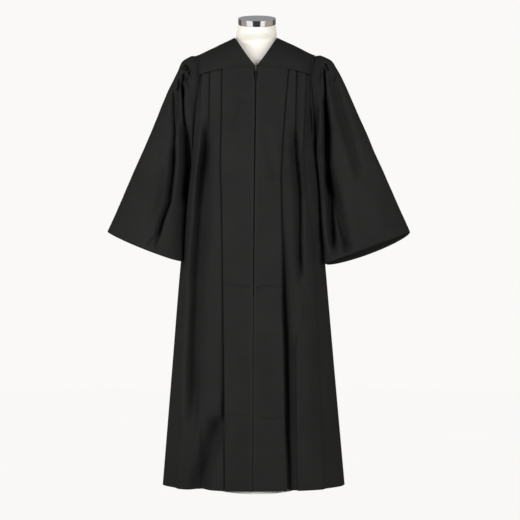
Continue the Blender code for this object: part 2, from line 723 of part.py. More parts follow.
def zip_slider(collection):
    """The slider's front wing with the bridge that carries the tab."""
    frame = slider_frame()
    wing_z = -(TAB_WALL + 2 * SEAM_GAP) - SLIDER_WALL / 2
    outline = rounded_rectangle(SLIDER_WIDTH, -SLIDER_LENGTH / 2, SLIDER_LENGTH / 2, 0.0025)
    wing = flat_outline("zip_slider", [outline], SLIDER_WALL, collection, "zip_metal")
    wing.matrix_world = frame @ Matrix.Translation((0, 0, wing_z))
    bridge = bpy.data.curves.new("bridge", "CURVE")
    bridge.dimensions = "3D"
    bridge.bevel_depth = BRIDGE_BAR
    bridge.bevel_resolution = 1
    bridge.use_fill_caps = True
    path = [(-BRIDGE_RADIUS, wing_z)]
    path += [(-BRIDGE_RADIUS * cos(pi * i / 8), BRIDGE_RADIUS * sin(pi * i / 8)) for i in range(9)]
    path += [(BRIDGE_RADIUS, wing_z)]
    spline = bridge.splines.new("POLY")
    spline.points.add(len(path) - 1)
    for point, (y, z) in zip(spline.points, path):
        point.co = (0, y, z, 1)
    bar = add_object("bridge", bridge, collection, "zip_metal")
    bar.matrix_world = frame
    bpy.context.view_layer.update()
    wing, bar = as_mesh(wing), as_mesh(bar)
    join = wing.modifiers.new("bridge", "BOOLEAN")
    join.operation = "UNION"
    join.object = bar
    bar.hide_render = True
    bar.display_type = "WIRE"
    cutters = bpy.data.collections.new("cutters")
    bpy.context.scene.collection.children.link(cutters)
    collection.objects.unlink(bar)
    cutters.objects.link(bar)


def zip_pull_tab(collection):
    """The tab hangs from the bridge by its eye; its own origin is the pivot."""
    bar = 0.0011
    top = bar / 2
    outline = rounded_rectangle(TAB_WIDTH, top - TAB_LENGTH, top, 0.0012)
    eye = rounded_rectangle(TAB_EYE_WIDTH, -top - TAB_EYE_LENGTH, -top, 0.0005, 2)
    tab = flat_outline("zip_pull_tab", [outline, eye], TAB_WALL, collection, "zip_metal")
    tab.matrix_world = slider_frame()
    bpy.context.view_layer.update()
    as_mesh(tab)


# ---------------------------------------------------------------- dress form and stand


def form_section(row, power):
    """A closed section of the form: an ellipse-like ring, tilted forward about its middle."""
    ring = []
    shift = NECK_SHIFT * smooth((row.z - 1.30) / 0.06)
    for i in range(FORM_SEGMENTS):
        angle = 2 * pi * i / FORM_SEGMENTS
        c, s = cos(angle), sin(angle)
        x = row.half * abs(c) ** (2 / power) * (1 if c >= 0 else -1)
        reach = row.front if s < 0 else row.back
        y = reach * abs(s) ** (2 / power) * (1 if s >= 0 else -1)
        ring.append((shift + x, row.middle + y * cos(row.tilt), row.z + y * sin(row.tilt)))
    return ring


def dress_form(collection):
    """Linen torso and neck. Its shoulders lie just under the yoke's shoulder line."""
    sections = [form_section(row, 2.2) for row in FORM]
    slope = (NECK_Z - SHOULDER_Z) / (SHOULDER_X - NECK_X)
    under = WALL / 2 + SEAM_GAP + 0.0002
    low = shoulder_height(0.160) - under / cos(slope)
    for i in range(RIDGE_STEPS + 1):
        t = i / RIDGE_STEPS
        z = lerp(low, RIDGE_TOP_Z, t)
        half = NECK_X + (NECK_Z - under / cos(slope) - z) / slope
        shift = NECK_SHIFT * smooth((z - 1.30) / 0.06)
        front, back = lerp(0.068, 0.048, t), lerp(0.060, 0.036, t)
        sections.append(form_section(Form(z, half - shift, front, back, 0.0, 0.0), 1.75))
    sections += [form_section(row, 2.0) for row in NECK]
    torso = loft("form_torso", sections, collection, "linen", ring=True, capped=True)
    torso.data.shade_smooth()


def neck_cap(collection):
    """Polished cap on the tilted neck."""
    r, h, edge = CAP_RADIUS, CAP_HEIGHT, 0.0016
    profile = [(0.0, h), (r - edge, h)]
    profile += [(r - edge + edge * sin(radians(a)), h - edge + edge * cos(radians(a))) for a in (30, 60, 90)]
    profile += [(r, edge / 2), (r - edge / 2, 0.0), (0.0, 0.0)]
    cap = turned("neck_cap", profile, 40, collection, "polished_metal")
    cap.matrix_world = Matrix.Translation(CAP_FOOT) @ Matrix.Rotation(NECK_TILT, 4, "X")


def stand(collection):
    """Pole with a seat under the torso, and the flat round base."""
    seat_z = FORM[0].z - SEAM_GAP
    foot_z = BASE_THICKNESS + 0.016 + SEAM_GAP
    pole = [(0.0, seat_z), (0.036, seat_z), (0.036, seat_z - 0.005), (POLE_RADIUS + 0.004, seat_z - 0.008)]
    pole += [(POLE_RADIUS + 0.004, seat_z - 0.030), (POLE_RADIUS, seat_z - 0.032)]
    pole += [(POLE_RADIUS, foot_z), (0.0, foot_z)]
    turned("stand_pole", pole, 24, collection, "stand_paint")
    top = BASE_THICKNESS
    base = [(0.0, top + 0.016), (0.024, top + 0.016), (0.026, top + 0.014), (0.026, top)]
    base += [(BASE_RADIUS - 0.003, top), (BASE_RADIUS, top - 0.003), (BASE_RADIUS, 0.0), (0.0, 0.0)]
    turned("stand_base", base, 48, collection, "stand_paint")


def main():
    clear_scene()
    collection = bpy.data.collections.new("choir_robe")
    bpy.context.scene.collection.children.link(collection)
    for side in ("left", "right"):
        front_panel(side, collection)
        front_yoke(side, collection)
        sleeve(side, collection)
    back_panel(collection)
    back_yoke(collection)
    zip_tapes(collection)
    zip_slider(collection)
    zip_pull_tab(collection)
    dress_form(collection)
    neck_cap(collection)
    stand(collection)


main()
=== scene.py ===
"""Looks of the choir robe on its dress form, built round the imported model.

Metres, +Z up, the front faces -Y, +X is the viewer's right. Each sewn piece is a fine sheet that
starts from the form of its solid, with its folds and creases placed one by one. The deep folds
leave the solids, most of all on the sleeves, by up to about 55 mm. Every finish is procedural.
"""

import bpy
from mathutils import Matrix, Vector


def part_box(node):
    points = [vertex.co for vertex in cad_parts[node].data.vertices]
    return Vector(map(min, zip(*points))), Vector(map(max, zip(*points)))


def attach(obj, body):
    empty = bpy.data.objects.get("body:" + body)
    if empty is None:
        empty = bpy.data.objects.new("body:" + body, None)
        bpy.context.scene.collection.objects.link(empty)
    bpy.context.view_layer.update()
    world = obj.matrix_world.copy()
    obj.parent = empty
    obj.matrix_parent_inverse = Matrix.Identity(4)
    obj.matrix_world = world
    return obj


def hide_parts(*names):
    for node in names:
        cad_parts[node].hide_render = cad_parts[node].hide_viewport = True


bl_info = {
    "name": "Choir Robe",
    "version": (1, 0, 0),
    "blender": (4, 5, 0),
    "location": "3D View > Sidebar > Choir Robe",
    "description": "Pleated choir robe with bell sleeves on a dress form, in a plain studio",
    "category": "Object",
}

from collections import namedtuple
from math import cos, pi, radians, sin

import bmesh
import bpy
import numpy as np
from bpy.props import FloatProperty, FloatVectorProperty, PointerProperty
from mathutils import Matrix, Vector

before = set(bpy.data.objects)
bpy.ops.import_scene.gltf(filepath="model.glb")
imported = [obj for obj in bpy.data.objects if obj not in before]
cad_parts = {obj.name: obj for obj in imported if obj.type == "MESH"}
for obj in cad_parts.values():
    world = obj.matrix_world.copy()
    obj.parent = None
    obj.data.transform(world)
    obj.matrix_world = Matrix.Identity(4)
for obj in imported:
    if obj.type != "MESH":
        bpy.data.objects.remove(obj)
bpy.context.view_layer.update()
BODY_NAME = "robe_on_form"

# ---------------------------------------------------------------- sizes shared with the solids

WALL = 0.0012
SEAM_GAP = 0.0003
HEM_Z = 0.010
NECK_X = 0.064
NECK_Z = 1.318
SHOULDER_X = 0.174
SHOULDER_Z = 1.266
V_Z = 1.2245
V_CURVE = 1.25
YOKE_INNER_X = 0.0065
SEAM_Z = 1.2224
SEAM_DROP = 0.020
SEAM_FADE_Z = 1.150     # below the curved yoke seam, the panels' rows are level from here
BACK_NECK_Z = 1.306
BACK_SEAM_Z = 1.175
UNDERARM_Z = 0.950
ARMHOLE_FRONT = 0.056
ARMHOLE_BACK = 0.060
ZIP_FOOT_Z = 0.575
COIL_WALL = 0.0016
POLE_RADIUS = 0.0140
BASE_RADIUS = 0.125
BASE_TOP = 0.008
NECK_TILT = radians(18.4)
CAP_RADIUS = 0.0550
CAP_HEIGHT = 0.018
CAP_FOOT = Vector((0.003, -0.0245, 1.3556))

Body = namedtuple("Body", "z left right centre front back boxy")
BODY = (
    Body(1.240, -0.1625, 0.1562, 0.0000, 0.1030, 0.0880, 2.2),
    Body(1.202, -0.1645, 0.1580, -0.0004, 0.1060, 0.0930, 2.2),
    Body(1.050, -0.1790, 0.1695, -0.0022, 0.1260, 0.1040, 2.2),
    Body(0.850, -0.2000, 0.1855, -0.0045, 0.1300, 0.1120, 2.2),
    Body(0.650, -0.2214, 0.2035, -0.0060, 0.1320, 0.1240, 2.3),
    Body(0.350, -0.2458, 0.2296, -0.0074, 0.1350, 0.1400, 2.5),
    Body(HEM_Z, -0.2734, 0.2600, -0.0082, 0.1370, 0.1550, 2.8),
)
Slit = namedtuple("Slit", "z half")
SLIT = (
    Slit(1.240, 0.0064),
    Slit(1.200, 0.0056),
    Slit(1.180, 0.0034),
    Slit(1.130, 0.0026),
    Slit(1.050, 0.0021),
    Slit(0.280, 0.0015),
    Slit(HEM_Z, 0.0036),
)

# One pleat down its length. edge: its visible fold, from the centre line. tuck: cloth folded
# under it (negative: the fold faces the centre). step: how much deeper the cloth lies past the
# fold. lift: depth at which the cloth reaches the fold.
Cut = namedtuple("Cut", "z edge tuck step lift", defaults=(0,))


def pleat(*rows):
    return tuple(Cut(*row) for row in rows)


FRONT_PLEATS = {
    "left": (
        pleat(
            (1.21, 0.095, 0.024, 0.0026), (1.065, 0.0938, 0.024, 0.0034),
            (0.95, 0.095, 0.024, 0.005), (0.866, 0.0918, 0.024, 0.0044),
            (0.69, 0.0872, 0.022, 0.0036), (0.55, 0.0849, 0.022, 0.005),
            (0.42, 0.0827, 0.022, 0.008), (0.3, 0.0812, 0.022, 0.013),
            (0.22, 0.0802, 0.022, 0.019), (0.17, 0.0798, 0.02, 0.015),
            (0.115, 0.0795, 0.02, 0.004), (HEM_Z, 0.079, 0.02, 0.0016),
        ),
        pleat(
            (1.21, 0.13, 0.018, 0.0026), (1.08, 0.13, 0.018, 0.004),
            (1.03, 0.13, 0.017, 0.016), (0.97, 0.13, 0.016, 0.022),
            (0.91, 0.1305, 0.012, 0.016), (0.85, 0.1325, 0.006, 0.008, 0.001),
            (0.79, 0.136, 0, 0.003, 0.002), (0.69, 0.146, 0, 0, 0.004),
            (HEM_Z, 0.15, -0.002, -0.01, 0.012),
        ),
        pleat(
            (1.21, 0.156, 0.016, 0.004), (1.07, 0.16, 0.008, 0.005),
            (0.98, 0.167, 0, 0.003), (0.866, 0.183, 0, 0.004), (0.69, 0.198, 0, 0.008),
            (HEM_Z, 0.22, 0, 0.014),
        ),
    ),
    "right": (
        pleat(
            (1.21, 0.0907, 0.024, 0.002), (1.09, 0.082, 0.024, 0.0022),
            (0.98, 0.0752, 0.024, 0.0034), (0.92, 0.0733, 0.024, 0.0036),
            (0.795, 0.0758, 0.022, 0.006), (0.69, 0.0786, 0.02, 0.016),
            (0.55, 0.08, 0.018, 0.031), (0.42, 0.0852, 0.017, 0.036),
            (0.27, 0.0886, 0.017, 0.035), (0.18, 0.0902, 0.017, 0.032),
            (0.09, 0.0955, 0.012, 0.024), (HEM_Z, 0.0985, 0.012, 0.02),
        ),
        pleat(
            (1.21, 0.1143, 0.018, 0.003), (1.09, 0.1134, 0.018, 0.004),
            (1.02, 0.112, 0.012, 0.007), (0.94, 0.115, 0, 0.005, 0.001),
            (0.82, 0.124, 0, 0.003, 0.003), (0.69, 0.1355, -0.008, -0.002, 0.004),
            (0.57, 0.136, 0, -0.001, 0.004), (0.47, 0.127, -0.008, -0.0016, 0.005),
            (0.4, 0.1215, -0.013, -0.0024, 0.006), (HEM_Z, 0.127, -0.012, -0.002, 0.006),
        ),
        pleat(
            (1.21, 0.1432, 0.018, 0.005), (1.09, 0.141, 0.018, 0.011),
            (1.04, 0.139, 0.015, 0.011), (0.95, 0.14, 0, 0.004, 0.002),
            (0.69, 0.172, 0, 0.006), (HEM_Z, 0.205, 0, 0.012),
        ),
    ),
}
BACK_PLEATS = (
    pleat(
        (BACK_SEAM_Z, 0.036, 0.016, 0.004), (0.9, 0.038, 0.014, 0.006),
        (0.6, 0.042, 0.006, 0.012), (HEM_Z, 0.05, 0, 0.022),
    ),
    pleat(
        (BACK_SEAM_Z, 0.076, 0.016, 0.004), (0.9, 0.083, 0.014, 0.006),
        (0.6, 0.095, 0.004, 0.011), (HEM_Z, 0.118, 0, 0.02),
    ),
    pleat(
        (BACK_SEAM_Z, 0.115, 0.014, 0.004), (0.95, 0.128, 0.008, 0.005),
        (0.7, 0.15, 0, 0.006), (HEM_Z, 0.188, 0, 0.014),
    ),
)
TURN = 0.0011
SOFT_WIDTH = 0.013
TUCK_FULL = 0.020
OPENING_STEP = 0.004

Sleeve = namedtuple("Sleeve", "along outer_x outer_z inner_x inner_z inner_y front back")
SLEEVES = {
    "left": (
        Sleeve(0.02, 0.1900, 1.2660, 0.1875, 0.9460, 0.000, 0.060, 0.062),
        Sleeve(0.16, 0.2140, 1.2510, 0.1875, 0.9400, 0.008, 0.066, 0.064),
        Sleeve(0.30, 0.2290, 1.2180, 0.1882, 0.9300, 0.022, 0.070, 0.066),
        Sleeve(0.44, 0.2560, 1.1650, 0.1910, 0.9050, 0.030, 0.070, 0.068),
        Sleeve(0.58, 0.2960, 1.0720, 0.1955, 0.8600, 0.028, 0.068, 0.070),
        Sleeve(0.72, 0.3400, 0.9700, 0.2010, 0.8040, 0.014, 0.064, 0.070),
        Sleeve(0.86, 0.3870, 0.8620, 0.2075, 0.7380, -0.012, 0.060, 0.070),
        Sleeve(1.00, 0.4352, 0.7510, 0.2160, 0.6640, -0.046, 0.054, 0.070),
    ),
    "right": (
        Sleeve(0.02, 0.1890, 1.2680, 0.1750, 0.9460, 0.000, 0.060, 0.062),
        Sleeve(0.16, 0.2180, 1.2540, 0.1752, 0.9400, 0.008, 0.068, 0.064),
        Sleeve(0.30, 0.2370, 1.2260, 0.1760, 0.9300, 0.022, 0.074, 0.066),
        Sleeve(0.44, 0.2640, 1.1730, 0.1778, 0.9050, 0.030, 0.072, 0.068),
        Sleeve(0.58, 0.3070, 1.0790, 0.1810, 0.8600, 0.028, 0.068, 0.070),
        Sleeve(0.72, 0.3530, 0.9740, 0.1855, 0.8040, 0.010, 0.062, 0.070),
        Sleeve(0.86, 0.4020, 0.8640, 0.1920, 0.7380, -0.020, 0.056, 0.070),
        Sleeve(1.00, 0.4528, 0.7490, 0.2012, 0.6580, -0.066, 0.046, 0.070),
    ),
}
Drop = namedtuple("Drop", "front back")
CUFF_DROP = {"left": Drop(0.008, 0.007), "right": Drop(0.000, 0.021)}

Form = namedtuple("Form", "z half front back middle tilt")
FORM = (
    Form(0.612, 0.1400, 0.0800, 0.0780, 0.000, 0.0),
    Form(0.620, 0.1520, 0.0900, 0.0880, 0.000, 0.0),
    Form(0.650, 0.1580, 0.0940, 0.0920, 0.000, 0.0),
    Form(0.720, 0.1600, 0.0960, 0.0930, 0.000, 0.0),
    Form(0.800, 0.1460, 0.0920, 0.0870, 0.000, 0.0),
    Form(0.900, 0.1220, 0.0840, 0.0780, 0.000, 0.0),
    Form(1.000, 0.1340, 0.0980, 0.0820, 0.000, 0.0),
    Form(1.080, 0.1440, 0.1080, 0.0850, 0.000, 0.0),
    Form(1.150, 0.1450, 0.0980, 0.0830, 0.000, 0.0),
    Form(1.210, 0.1480, 0.0860, 0.0780, 0.000, 0.0),
    Form(1.245, 0.1560, 0.0780, 0.0720, 0.000, 0.0),
)
RIDGE_TOP_Z = 1.3040
NECK = (
    Form(1.3150, 0.0605, 0.0560, 0.0450, -0.003, radians(2)),
    Form(1.3320, 0.0590, 0.0600, 0.0580, -0.011, radians(9)),
    Form(1.3440, 0.0560, 0.0560, 0.0560, -0.018, radians(14)),
    Form(1.3553, 0.0545, 0.0545, 0.0545, -0.0244, NECK_TILT),
)
NECK_SHIFT = 0.003


# ---------------------------------------------------------------- looks of the cloth

CLOTH = 0.0009          # thickness shown
LAYER_POINTS = (7, 2, 2)        # points of the fronts' panels between their pleats
BACK_LAYER_POINTS = (2, 1, 1)
SIDE_POINTS = 9
YOKE_INNER_COLUMNS, YOKE_OUTER_COLUMNS, YOKE_ROWS = 26, 42, 72
SLEEVE_STEP_ROUND = 1.65        # degrees between a sleeve's columns, fewer where it is gathered
SLEEVE_ROOT = 0.02              # share of a sleeve's length over which it leaves the armhole
FLATTER = 0.32                  # how much flatter the front hangs below the bust than its solid
GATHER_PUFF = 0.0022

# Rows of points stand closer together in these bands: middle, half height and spacing there.
Band = namedtuple("Band", "middle half step")
PANEL_STEP, BACK_STEP, SLEEVE_STEP = 0.0115, 0.0150, 0.0150
PANEL_BANDS = (
    Band(HEM_Z + 0.080, 0.008, 0.0014),
    Band(HEM_Z, 0.008, 0.0030),
    Band(0.222, 0.014, 0.0024),
    Band(0.353, 0.008, 0.0030),
    Band(0.402, 0.008, 0.0030),
    Band(0.450, 0.008, 0.0030),
    Band(0.594, 0.012, 0.0022),
    Band(0.640, 0.050, 0.0050),
    Band(0.901, 0.008, 0.0030),
    Band(1.220, 0.012, 0.0022),
)
BACK_BANDS = (
    Band(HEM_Z + 0.080, 0.008, 0.0014),
    Band(0.226, 0.010, 0.0026),
    Band(0.596, 0.010, 0.0026),
    Band(0.902, 0.008, 0.0030),
    Band(1.172, 0.012, 0.0022),
)
SLEEVE_BANDS = (Band(0.13, 0.12, 0.0062), Band(0.965, 0.018, 0.0028))
ROUND_BANDS = (Band(42, 24, 0.9), Band(-42, 26, 1.6), Band(105, 30, 2.2))

GROOVE = 0.0048         # depth of the groove beside a fold
# The last two points of a layer before a fold: distance from the fold's start and from its edge.
BEFORE_FOLD = ((0.005, 0.006), (0.0004, 0.0015))
COME_FORWARD = 0.50     # share by which the cloth behind the first fold comes forward again

# Folded edge of a front along the zip: distance from its start, depth and painted sheen.
ZIP_EDGE = (
    (0.0006, 0.0012, 0.0),
    (0.0000, 0.0003, 0.2),
    (0.0012, -0.0005, 0.4),
    (0.0040, -0.0002, 0.1),
    (0.0100, 0.0000, 0.0),
)
# Heights of the zip's own rows of points: the tapes run straight between them.
ZIP_ROWS = (
    1.2224, 1.150, 1.090, 1.030, 0.980, 0.950, 0.860, 0.750, 0.630, 0.500, 0.370, 0.240, 0.120,
    HEM_Z,
)

# A crease in the plane seen from the front or back: half width, depth (below 0 a ridge) and
# course. A sharp crease is V-shaped, and the rest are rounded.
Crease = namedtuple("Crease", "width depth course sharp")


def crease(width, depth, *course, sharp=0):
    """A crease whose sizes are written in millimetres."""
    course = tuple((x / 1000, z / 1000) for x, z in course)
    return Crease(width / 1000, depth / 1000, course, sharp)


FRONT_CREASES = {
    "left": (
        crease(12, 6, (-28, 1150), (-48, 1080), (-84, 990)),
        crease(14, -3, (-50, 1145), (-70, 1090), (-92, 1040)),
        crease(
            18.5, 40, (-140, 1110), (-143, 985), (-150, 915), (-154.5, 855), (-157, 795),
            (-161.5, 724), (-168, 639), (-170, 553), (-176, 411), (-178, 269), (-178, 120),
        ),
        crease(10, -6, (-170, 1000), (-178, 880), (-194, 700), (-204, 540)),
        crease(14, -3.5, (-196, 560), (-206, 420), (-212, 150)),
        crease(22, 34, (-106, 235), (-114, 180), (-127, 140), (-141, 98), (-156, 50), (-172, -30)),
        crease(10, -4, (-160, 200), (-186, 120), (-204, 20)),
        crease(20, 2.2, (-30, 900), (-44, 780), (-40, 640)),
        crease(22, -1.8, (-60, 560), (-50, 400), (-58, 240)),
    ),
    "right": (
        crease(14, 5, (28, 1060), (40, 980), (64, 880)),
        crease(14, -2.6, (44, 1080), (58, 990), (70, 900)),
        crease(
            9.5, 26, (108.5, 1070), (110, 980), (116.5, 923), (121.5, 857), (124.5, 730),
            (127.5, 640), (127, 570),
        ),
        crease(7, 12, (157.5, 1120), (159, 1085), (161.5, 1055), (164, 1020)),
        crease(11, 4, (139, 1020), (141, 940), (148, 820), (156, 700)),
        crease(13, 4.5, (160, 860), (172, 700), (180, 520)),
        crease(14, 5, (168, 560), (176, 380), (184, 150)),
        crease(18, -2.6, (146, 500), (150, 330), (158, 120)),
        crease(22, 2, (36, 520), (48, 380), (40, 230)),
        crease(4, 1.6, (2, 684), (11, 678), sharp=1),
        crease(4, 1.4, (2, 666), (12, 668), sharp=1),
        crease(5, 1.8, (2, 651), (15, 645), sharp=1),
        crease(4, 1.2, (3, 622), (11, 626), sharp=1),
        crease(6, 2.8, (0, 588), (13, 587), sharp=1),
    ),
}
# Lines where the robe lay folded in its bag, right across it: the same idea, small and sharp.
PACKING = (
    crease(3.5, 3.7, (-94, 597), (-50, 592), (-8, 594), sharp=1),
    crease(3.5, 4.1, (4, 589), (40, 594), (80, 588), sharp=1),
    crease(3.5, -2.4, (-190, 602), (-130, 596), (-100, 598), sharp=1),
    crease(3.5, 2.7, (102, 592), (150, 598), (196, 594), sharp=1),
    crease(4, 2, (4, 452), (40, 449), (76, 452), sharp=1),
    crease(4, -2, (6, 404), (44, 401), (74, 403), sharp=1),
    crease(4, 2, (4, 353), (50, 350), (78, 354), sharp=1),
    crease(4, 3.1, (-222, 236), (-150, 228), (-86, 231), sharp=1),
    crease(4, 3.4, (-80, 229), (-30, 222), (-8, 224), sharp=1),
    crease(4, 3.4, (4, 220), (50, 213), (88, 217), sharp=1),
    crease(4, 2.7, (112, 216), (170, 222), (222, 218), sharp=1),
    crease(4, -2, (-120, 905), (-60, 901), (-10, 903), sharp=1),
    crease(4, 2, (6, 899), (50, 902), (110, 898), sharp=1),
)
BACK_CREASES = (
    crease(18, 5, (-20, 1150), (-24, 900), (-18, 500), (-24, 30)),
    crease(20, 4, (22, 1140), (18, 950), (26, 620), (20, 200)),
    crease(14, 6, (-148, 1120), (-160, 920), (-172, 720)),
    crease(14, 5.5, (142, 1110), (150, 960), (160, 760)),
    crease(16, 5, (-150, 640), (-166, 400), (-176, 120)),
    crease(18, -4, (150, 660), (158, 420), (170, 100)),
    crease(16, 3.5, (-62, 1020), (-90, 900), (-118, 820)),
    crease(16, 3, (70, 480), (100, 300), (140, 160)),
    crease(4.5, 1.1, (-215, 600), (-100, 594), (10, 598), (204, 592), sharp=1),
    crease(4.5, 1, (-225, 232), (-110, 224), (20, 229), (220, 221), sharp=1),
    crease(4.5, -0.8, (-170, 906), (-60, 900), (60, 904), (150, 899), sharp=1),
)
SLEEVE_CREASES = {
    ("left", "front"): (
        crease(5, 19, (-241, 1190), (-239, 1093), (-236, 1048), (-238.5, 996), (-242, 930)),
        crease(
            7, 30, (-238, 1010), (-242.5, 927), (-250.5, 861), (-253, 835), (-271, 782),
            (-284.5, 726), (-289, 700),
        ),
        crease(15, 6, (-256, 960), (-264, 870), (-286, 780)),
        crease(5, 6, (-286, 742), (-300, 722), (-318, 708)),
        crease(6, 6, (-287, 735), (-284, 696)),
        crease(7, 18, (-227, 1165), (-229, 1120), (-227, 1060)),
        crease(5, 23, (-211, 1190), (-211, 1150), (-209.5, 1100), (-206, 1040)),
        crease(11.5, 42, (-206, 1080), (-201.5, 1000), (-199.5, 940), (-204, 870), (-209, 820)),
        crease(
            5, 24, (-177, 1195), (-173.5, 1166), (-176, 1140), (-172, 1127), (-176.5, 1116),
            (-176, 1080), sharp=0.3,
        ),
        crease(4, 4, (-250, 830), (-232, 837), (-216, 842), sharp=1),
        crease(24, 3, (-300, 1010), (-330, 930), (-350, 850)),
        crease(26, -3, (-290, 900), (-320, 810), (-345, 730)),
        crease(20, 3, (-255, 1120), (-275, 1040), (-285, 960)),
        crease(16, -3, (-228, 800), (-240, 740), (-246, 690)),
        crease(3.6, 15, (-201, 1239), (-208, 1232), (-215, 1223), sharp=0.3),
        crease(3.4, 17, (-196, 1234), (-202, 1226), (-207, 1216), sharp=0.3),
        crease(2.6, 13, (-192.5, 1226.5), (-201, 1216.5), sharp=0.3),
        crease(2.6, 14, (-189.5, 1219), (-197.5, 1205), sharp=0.3),
        crease(2.8, 11, (-184, 1208.5), (-190, 1199), sharp=0.3),
        crease(2.4, 8, (-178.5, 1204.5), (-182.5, 1196), sharp=0.3),
        crease(
            5, 26, (-208, 1218), (-209.5, 1207.3), (-209.5, 1195.4), (-214.4, 1180.9),
            (-211.5, 1163.8), (-210, 1130),
        ),
        crease(4.2, 15, (-197.5, 1199), (-201, 1190), (-205, 1183), sharp=0.2),
        crease(3, 5, (-198.5, 1188), (-196, 1174), (-197.5, 1162), sharp=0.3),
        crease(5.5, 20, (-223.5, 1196), (-224, 1173.6), (-230, 1156)),
        crease(5, -5, (-204, 1211), (-202, 1200), (-206, 1192)),
        crease(3.4, -4, (-189, 1202), (-190, 1188)),
    ),
    ("right", "front"): (
        crease(
            4, 26, (192, 1240), (196, 1231), (200.3, 1217), (198.3, 1202), (200.3, 1173),
            (206, 1099), (206, 1060),
        ),
        crease(
            9, 52, (199, 1170), (202, 1105), (204, 1046), (207.5, 985), (210.8, 927),
            (214.5, 850),
        ),
        crease(11, 40, (214, 950), (218, 869), (218, 797), (225, 725), (230, 670)),
        crease(12, 32, (224, 910), (240, 797), (257, 725), (270, 670)),
        crease(9.5, -23, (187, 1130), (188, 1000), (190, 930), (195, 860), (203, 780), (209, 680)),
        crease(
            5, -22, (174, 1080), (177.5, 1000), (181, 930), (186, 860), (193.5, 780), (201, 680),
        ),
        crease(4.5, 14, (173, 1150), (173.5, 1090), (174.5, 1040)),
        crease(15, 20, (216, 1240), (228, 1180), (240, 1130), (256, 1075), (280, 990), (310, 880)),
        crease(22, -4, (240, 1020), (262, 950), (280, 880)),
        crease(22, 3, (300, 1010), (330, 930), (352, 850)),
        crease(18, 3.6, (290, 860), (306, 790), (318, 720)),
        crease(18, -3, (340, 880), (360, 800), (372, 740)),
        crease(3.6, 16, (201, 1242), (207, 1229), (213, 1215), sharp=0.3),
        crease(3, 7, (236, 1210), (231, 1199), (225.5, 1186), sharp=0.4),
        crease(4, 15, (189, 1217), (184.5, 1204), (182.3, 1186), sharp=0.2),
        crease(2.2, 7, (185.5, 1230), (184, 1223), sharp=0.3),
        crease(2.4, 9, (176, 1212), (172, 1208), sharp=0.3),
        crease(2.4, 5, (180, 1233), (187, 1224), (189, 1219), sharp=0.3),
        crease(6, 20, (180, 1160), (176.5, 1125), (174, 1090)),
        crease(2.4, 5, (170, 1140), (176.2, 1146.4), (180, 1156), sharp=0.3),
        crease(5, -5, (191.5, 1220), (191.5, 1190), (190, 1150)),
    ),
    ("left", "back"): (
        crease(13, 18, (-205, 1200), (-214, 1100), (-222, 980), (-232, 840), (-240, 700)),
        crease(12, 11, (-240, 1140), (-262, 1040), (-290, 900), (-312, 760)),
        crease(14, 6, (-290, 1020), (-330, 900), (-352, 790)),
        crease(20, -4, (-260, 960), (-280, 840), (-290, 740)),
    ),
    ("right", "back"): (
        crease(13, 18, (200, 1205), (210, 1100), (220, 970), (228, 820), (236, 690)),
        crease(12, 12, (236, 1150), (262, 1040), (296, 900), (322, 760)),
        crease(14, 6, (300, 1010), (342, 890), (370, 780)),
        crease(20, -4, (262, 950), (280, 830), (292, 740)),
    ),
}
# Gathers of a sleeve's cap: place round the armhole in degrees from the shoulder (front above 0,
# back below), half width in degrees, length along the sleeve as a share, and depth.
Gather = namedtuple("Gather", "turn width length depth")
GATHERS = (
    Gather(9, 2.4, 0.16, 0.0060), Gather(17, 2.2, 0.12, 0.0080), Gather(25, 2.0, 0.10, 0.0060),
    Gather(-8, 2.4, 0.14, 0.0060), Gather(-15, 2.6, 0.12, 0.0100), Gather(-22, 2.8, 0.22, 0.0150),
    Gather(-29, 2.6, 0.13, 0.0130), Gather(-36, 2.8, 0.26, 0.0170), Gather(-43, 2.8, 0.14, 0.0130),
    Gather(-50, 2.8, 0.20, 0.0140), Gather(-58, 2.8, 0.12, 0.0110), Gather(-66, 3.2, 0.18, 0.0110),
)
GATHER_START = 0.170    # where they start at the shoulder, as a share of the sleeve's length
GATHER_LAST = 60        # the line of their starts reaches the seam at this turn, in degrees

HEM_BAND = 0.080
CUFF_BAND = 0.022
SEAM_ROLL = 0.0011      # how proud a sewn edge stands
STITCH_INSET = 0.0062   # from a yoke's edge to its row of stitches
STITCH_LIFT = 0.00045   # from the face of the cloth to the middle of a stitch

# Slow unevenness of hanging cloth: waves over x and z in radians a metre, and their size.
Wave = namedtuple("Wave", "across down start size")
WAVES = (
    Wave(31, 17, 0.3, 0.00045),
    Wave(-47, 29, 1.9, 0.00035),
    Wave(73, -41, 4.0, 0.00022),
    Wave(96, 88, 2.2, 0.00013),
    Wave(-150, 61, 5.1, 0.00008),
)

# ---------------------------------------------------------------- small tools


def ease(t):
    """Ease from 0 to 1."""
    t = np.clip(t, 0.0, 1.0)
    return t * t * (3 - 2 * t)


def lerp(a, b, t):
    return a + (b - a) * t


def blended(table, key):
    """A table's columns at values of its first column, on smooth curves through its rows."""
    rows = np.array(sorted(table), float)
    run = np.diff(rows[:, 0])[:, None]
    rise = np.diff(rows, axis=0) / run
    both = rise[:-1] * rise[1:]
    inner = np.divide(2 * both, rise[:-1] + rise[1:], out=np.zeros_like(both), where=both > 0)
    slope = np.vstack((rise[:1], inner, rise[-1:]))
    key = np.asarray(key, float)
    i = np.clip(np.searchsorted(rows[:, 0], key, side="right") - 1, 0, len(run) - 1)
    t = np.clip((key - rows[i, 0]) / run[i, 0], 0, 1)[..., None]
    value = (
        (1 + 2 * t) * (1 - t) ** 2 * rows[i]
        + t * (1 - t) ** 2 * slope[i] * run[i]
        + t * t * (3 - 2 * t) * rows[i + 1]
        + t * t * (t - 1) * slope[i + 1] * run[i]
    )
    return type(table[0])(*np.moveaxis(value, -1, 0))


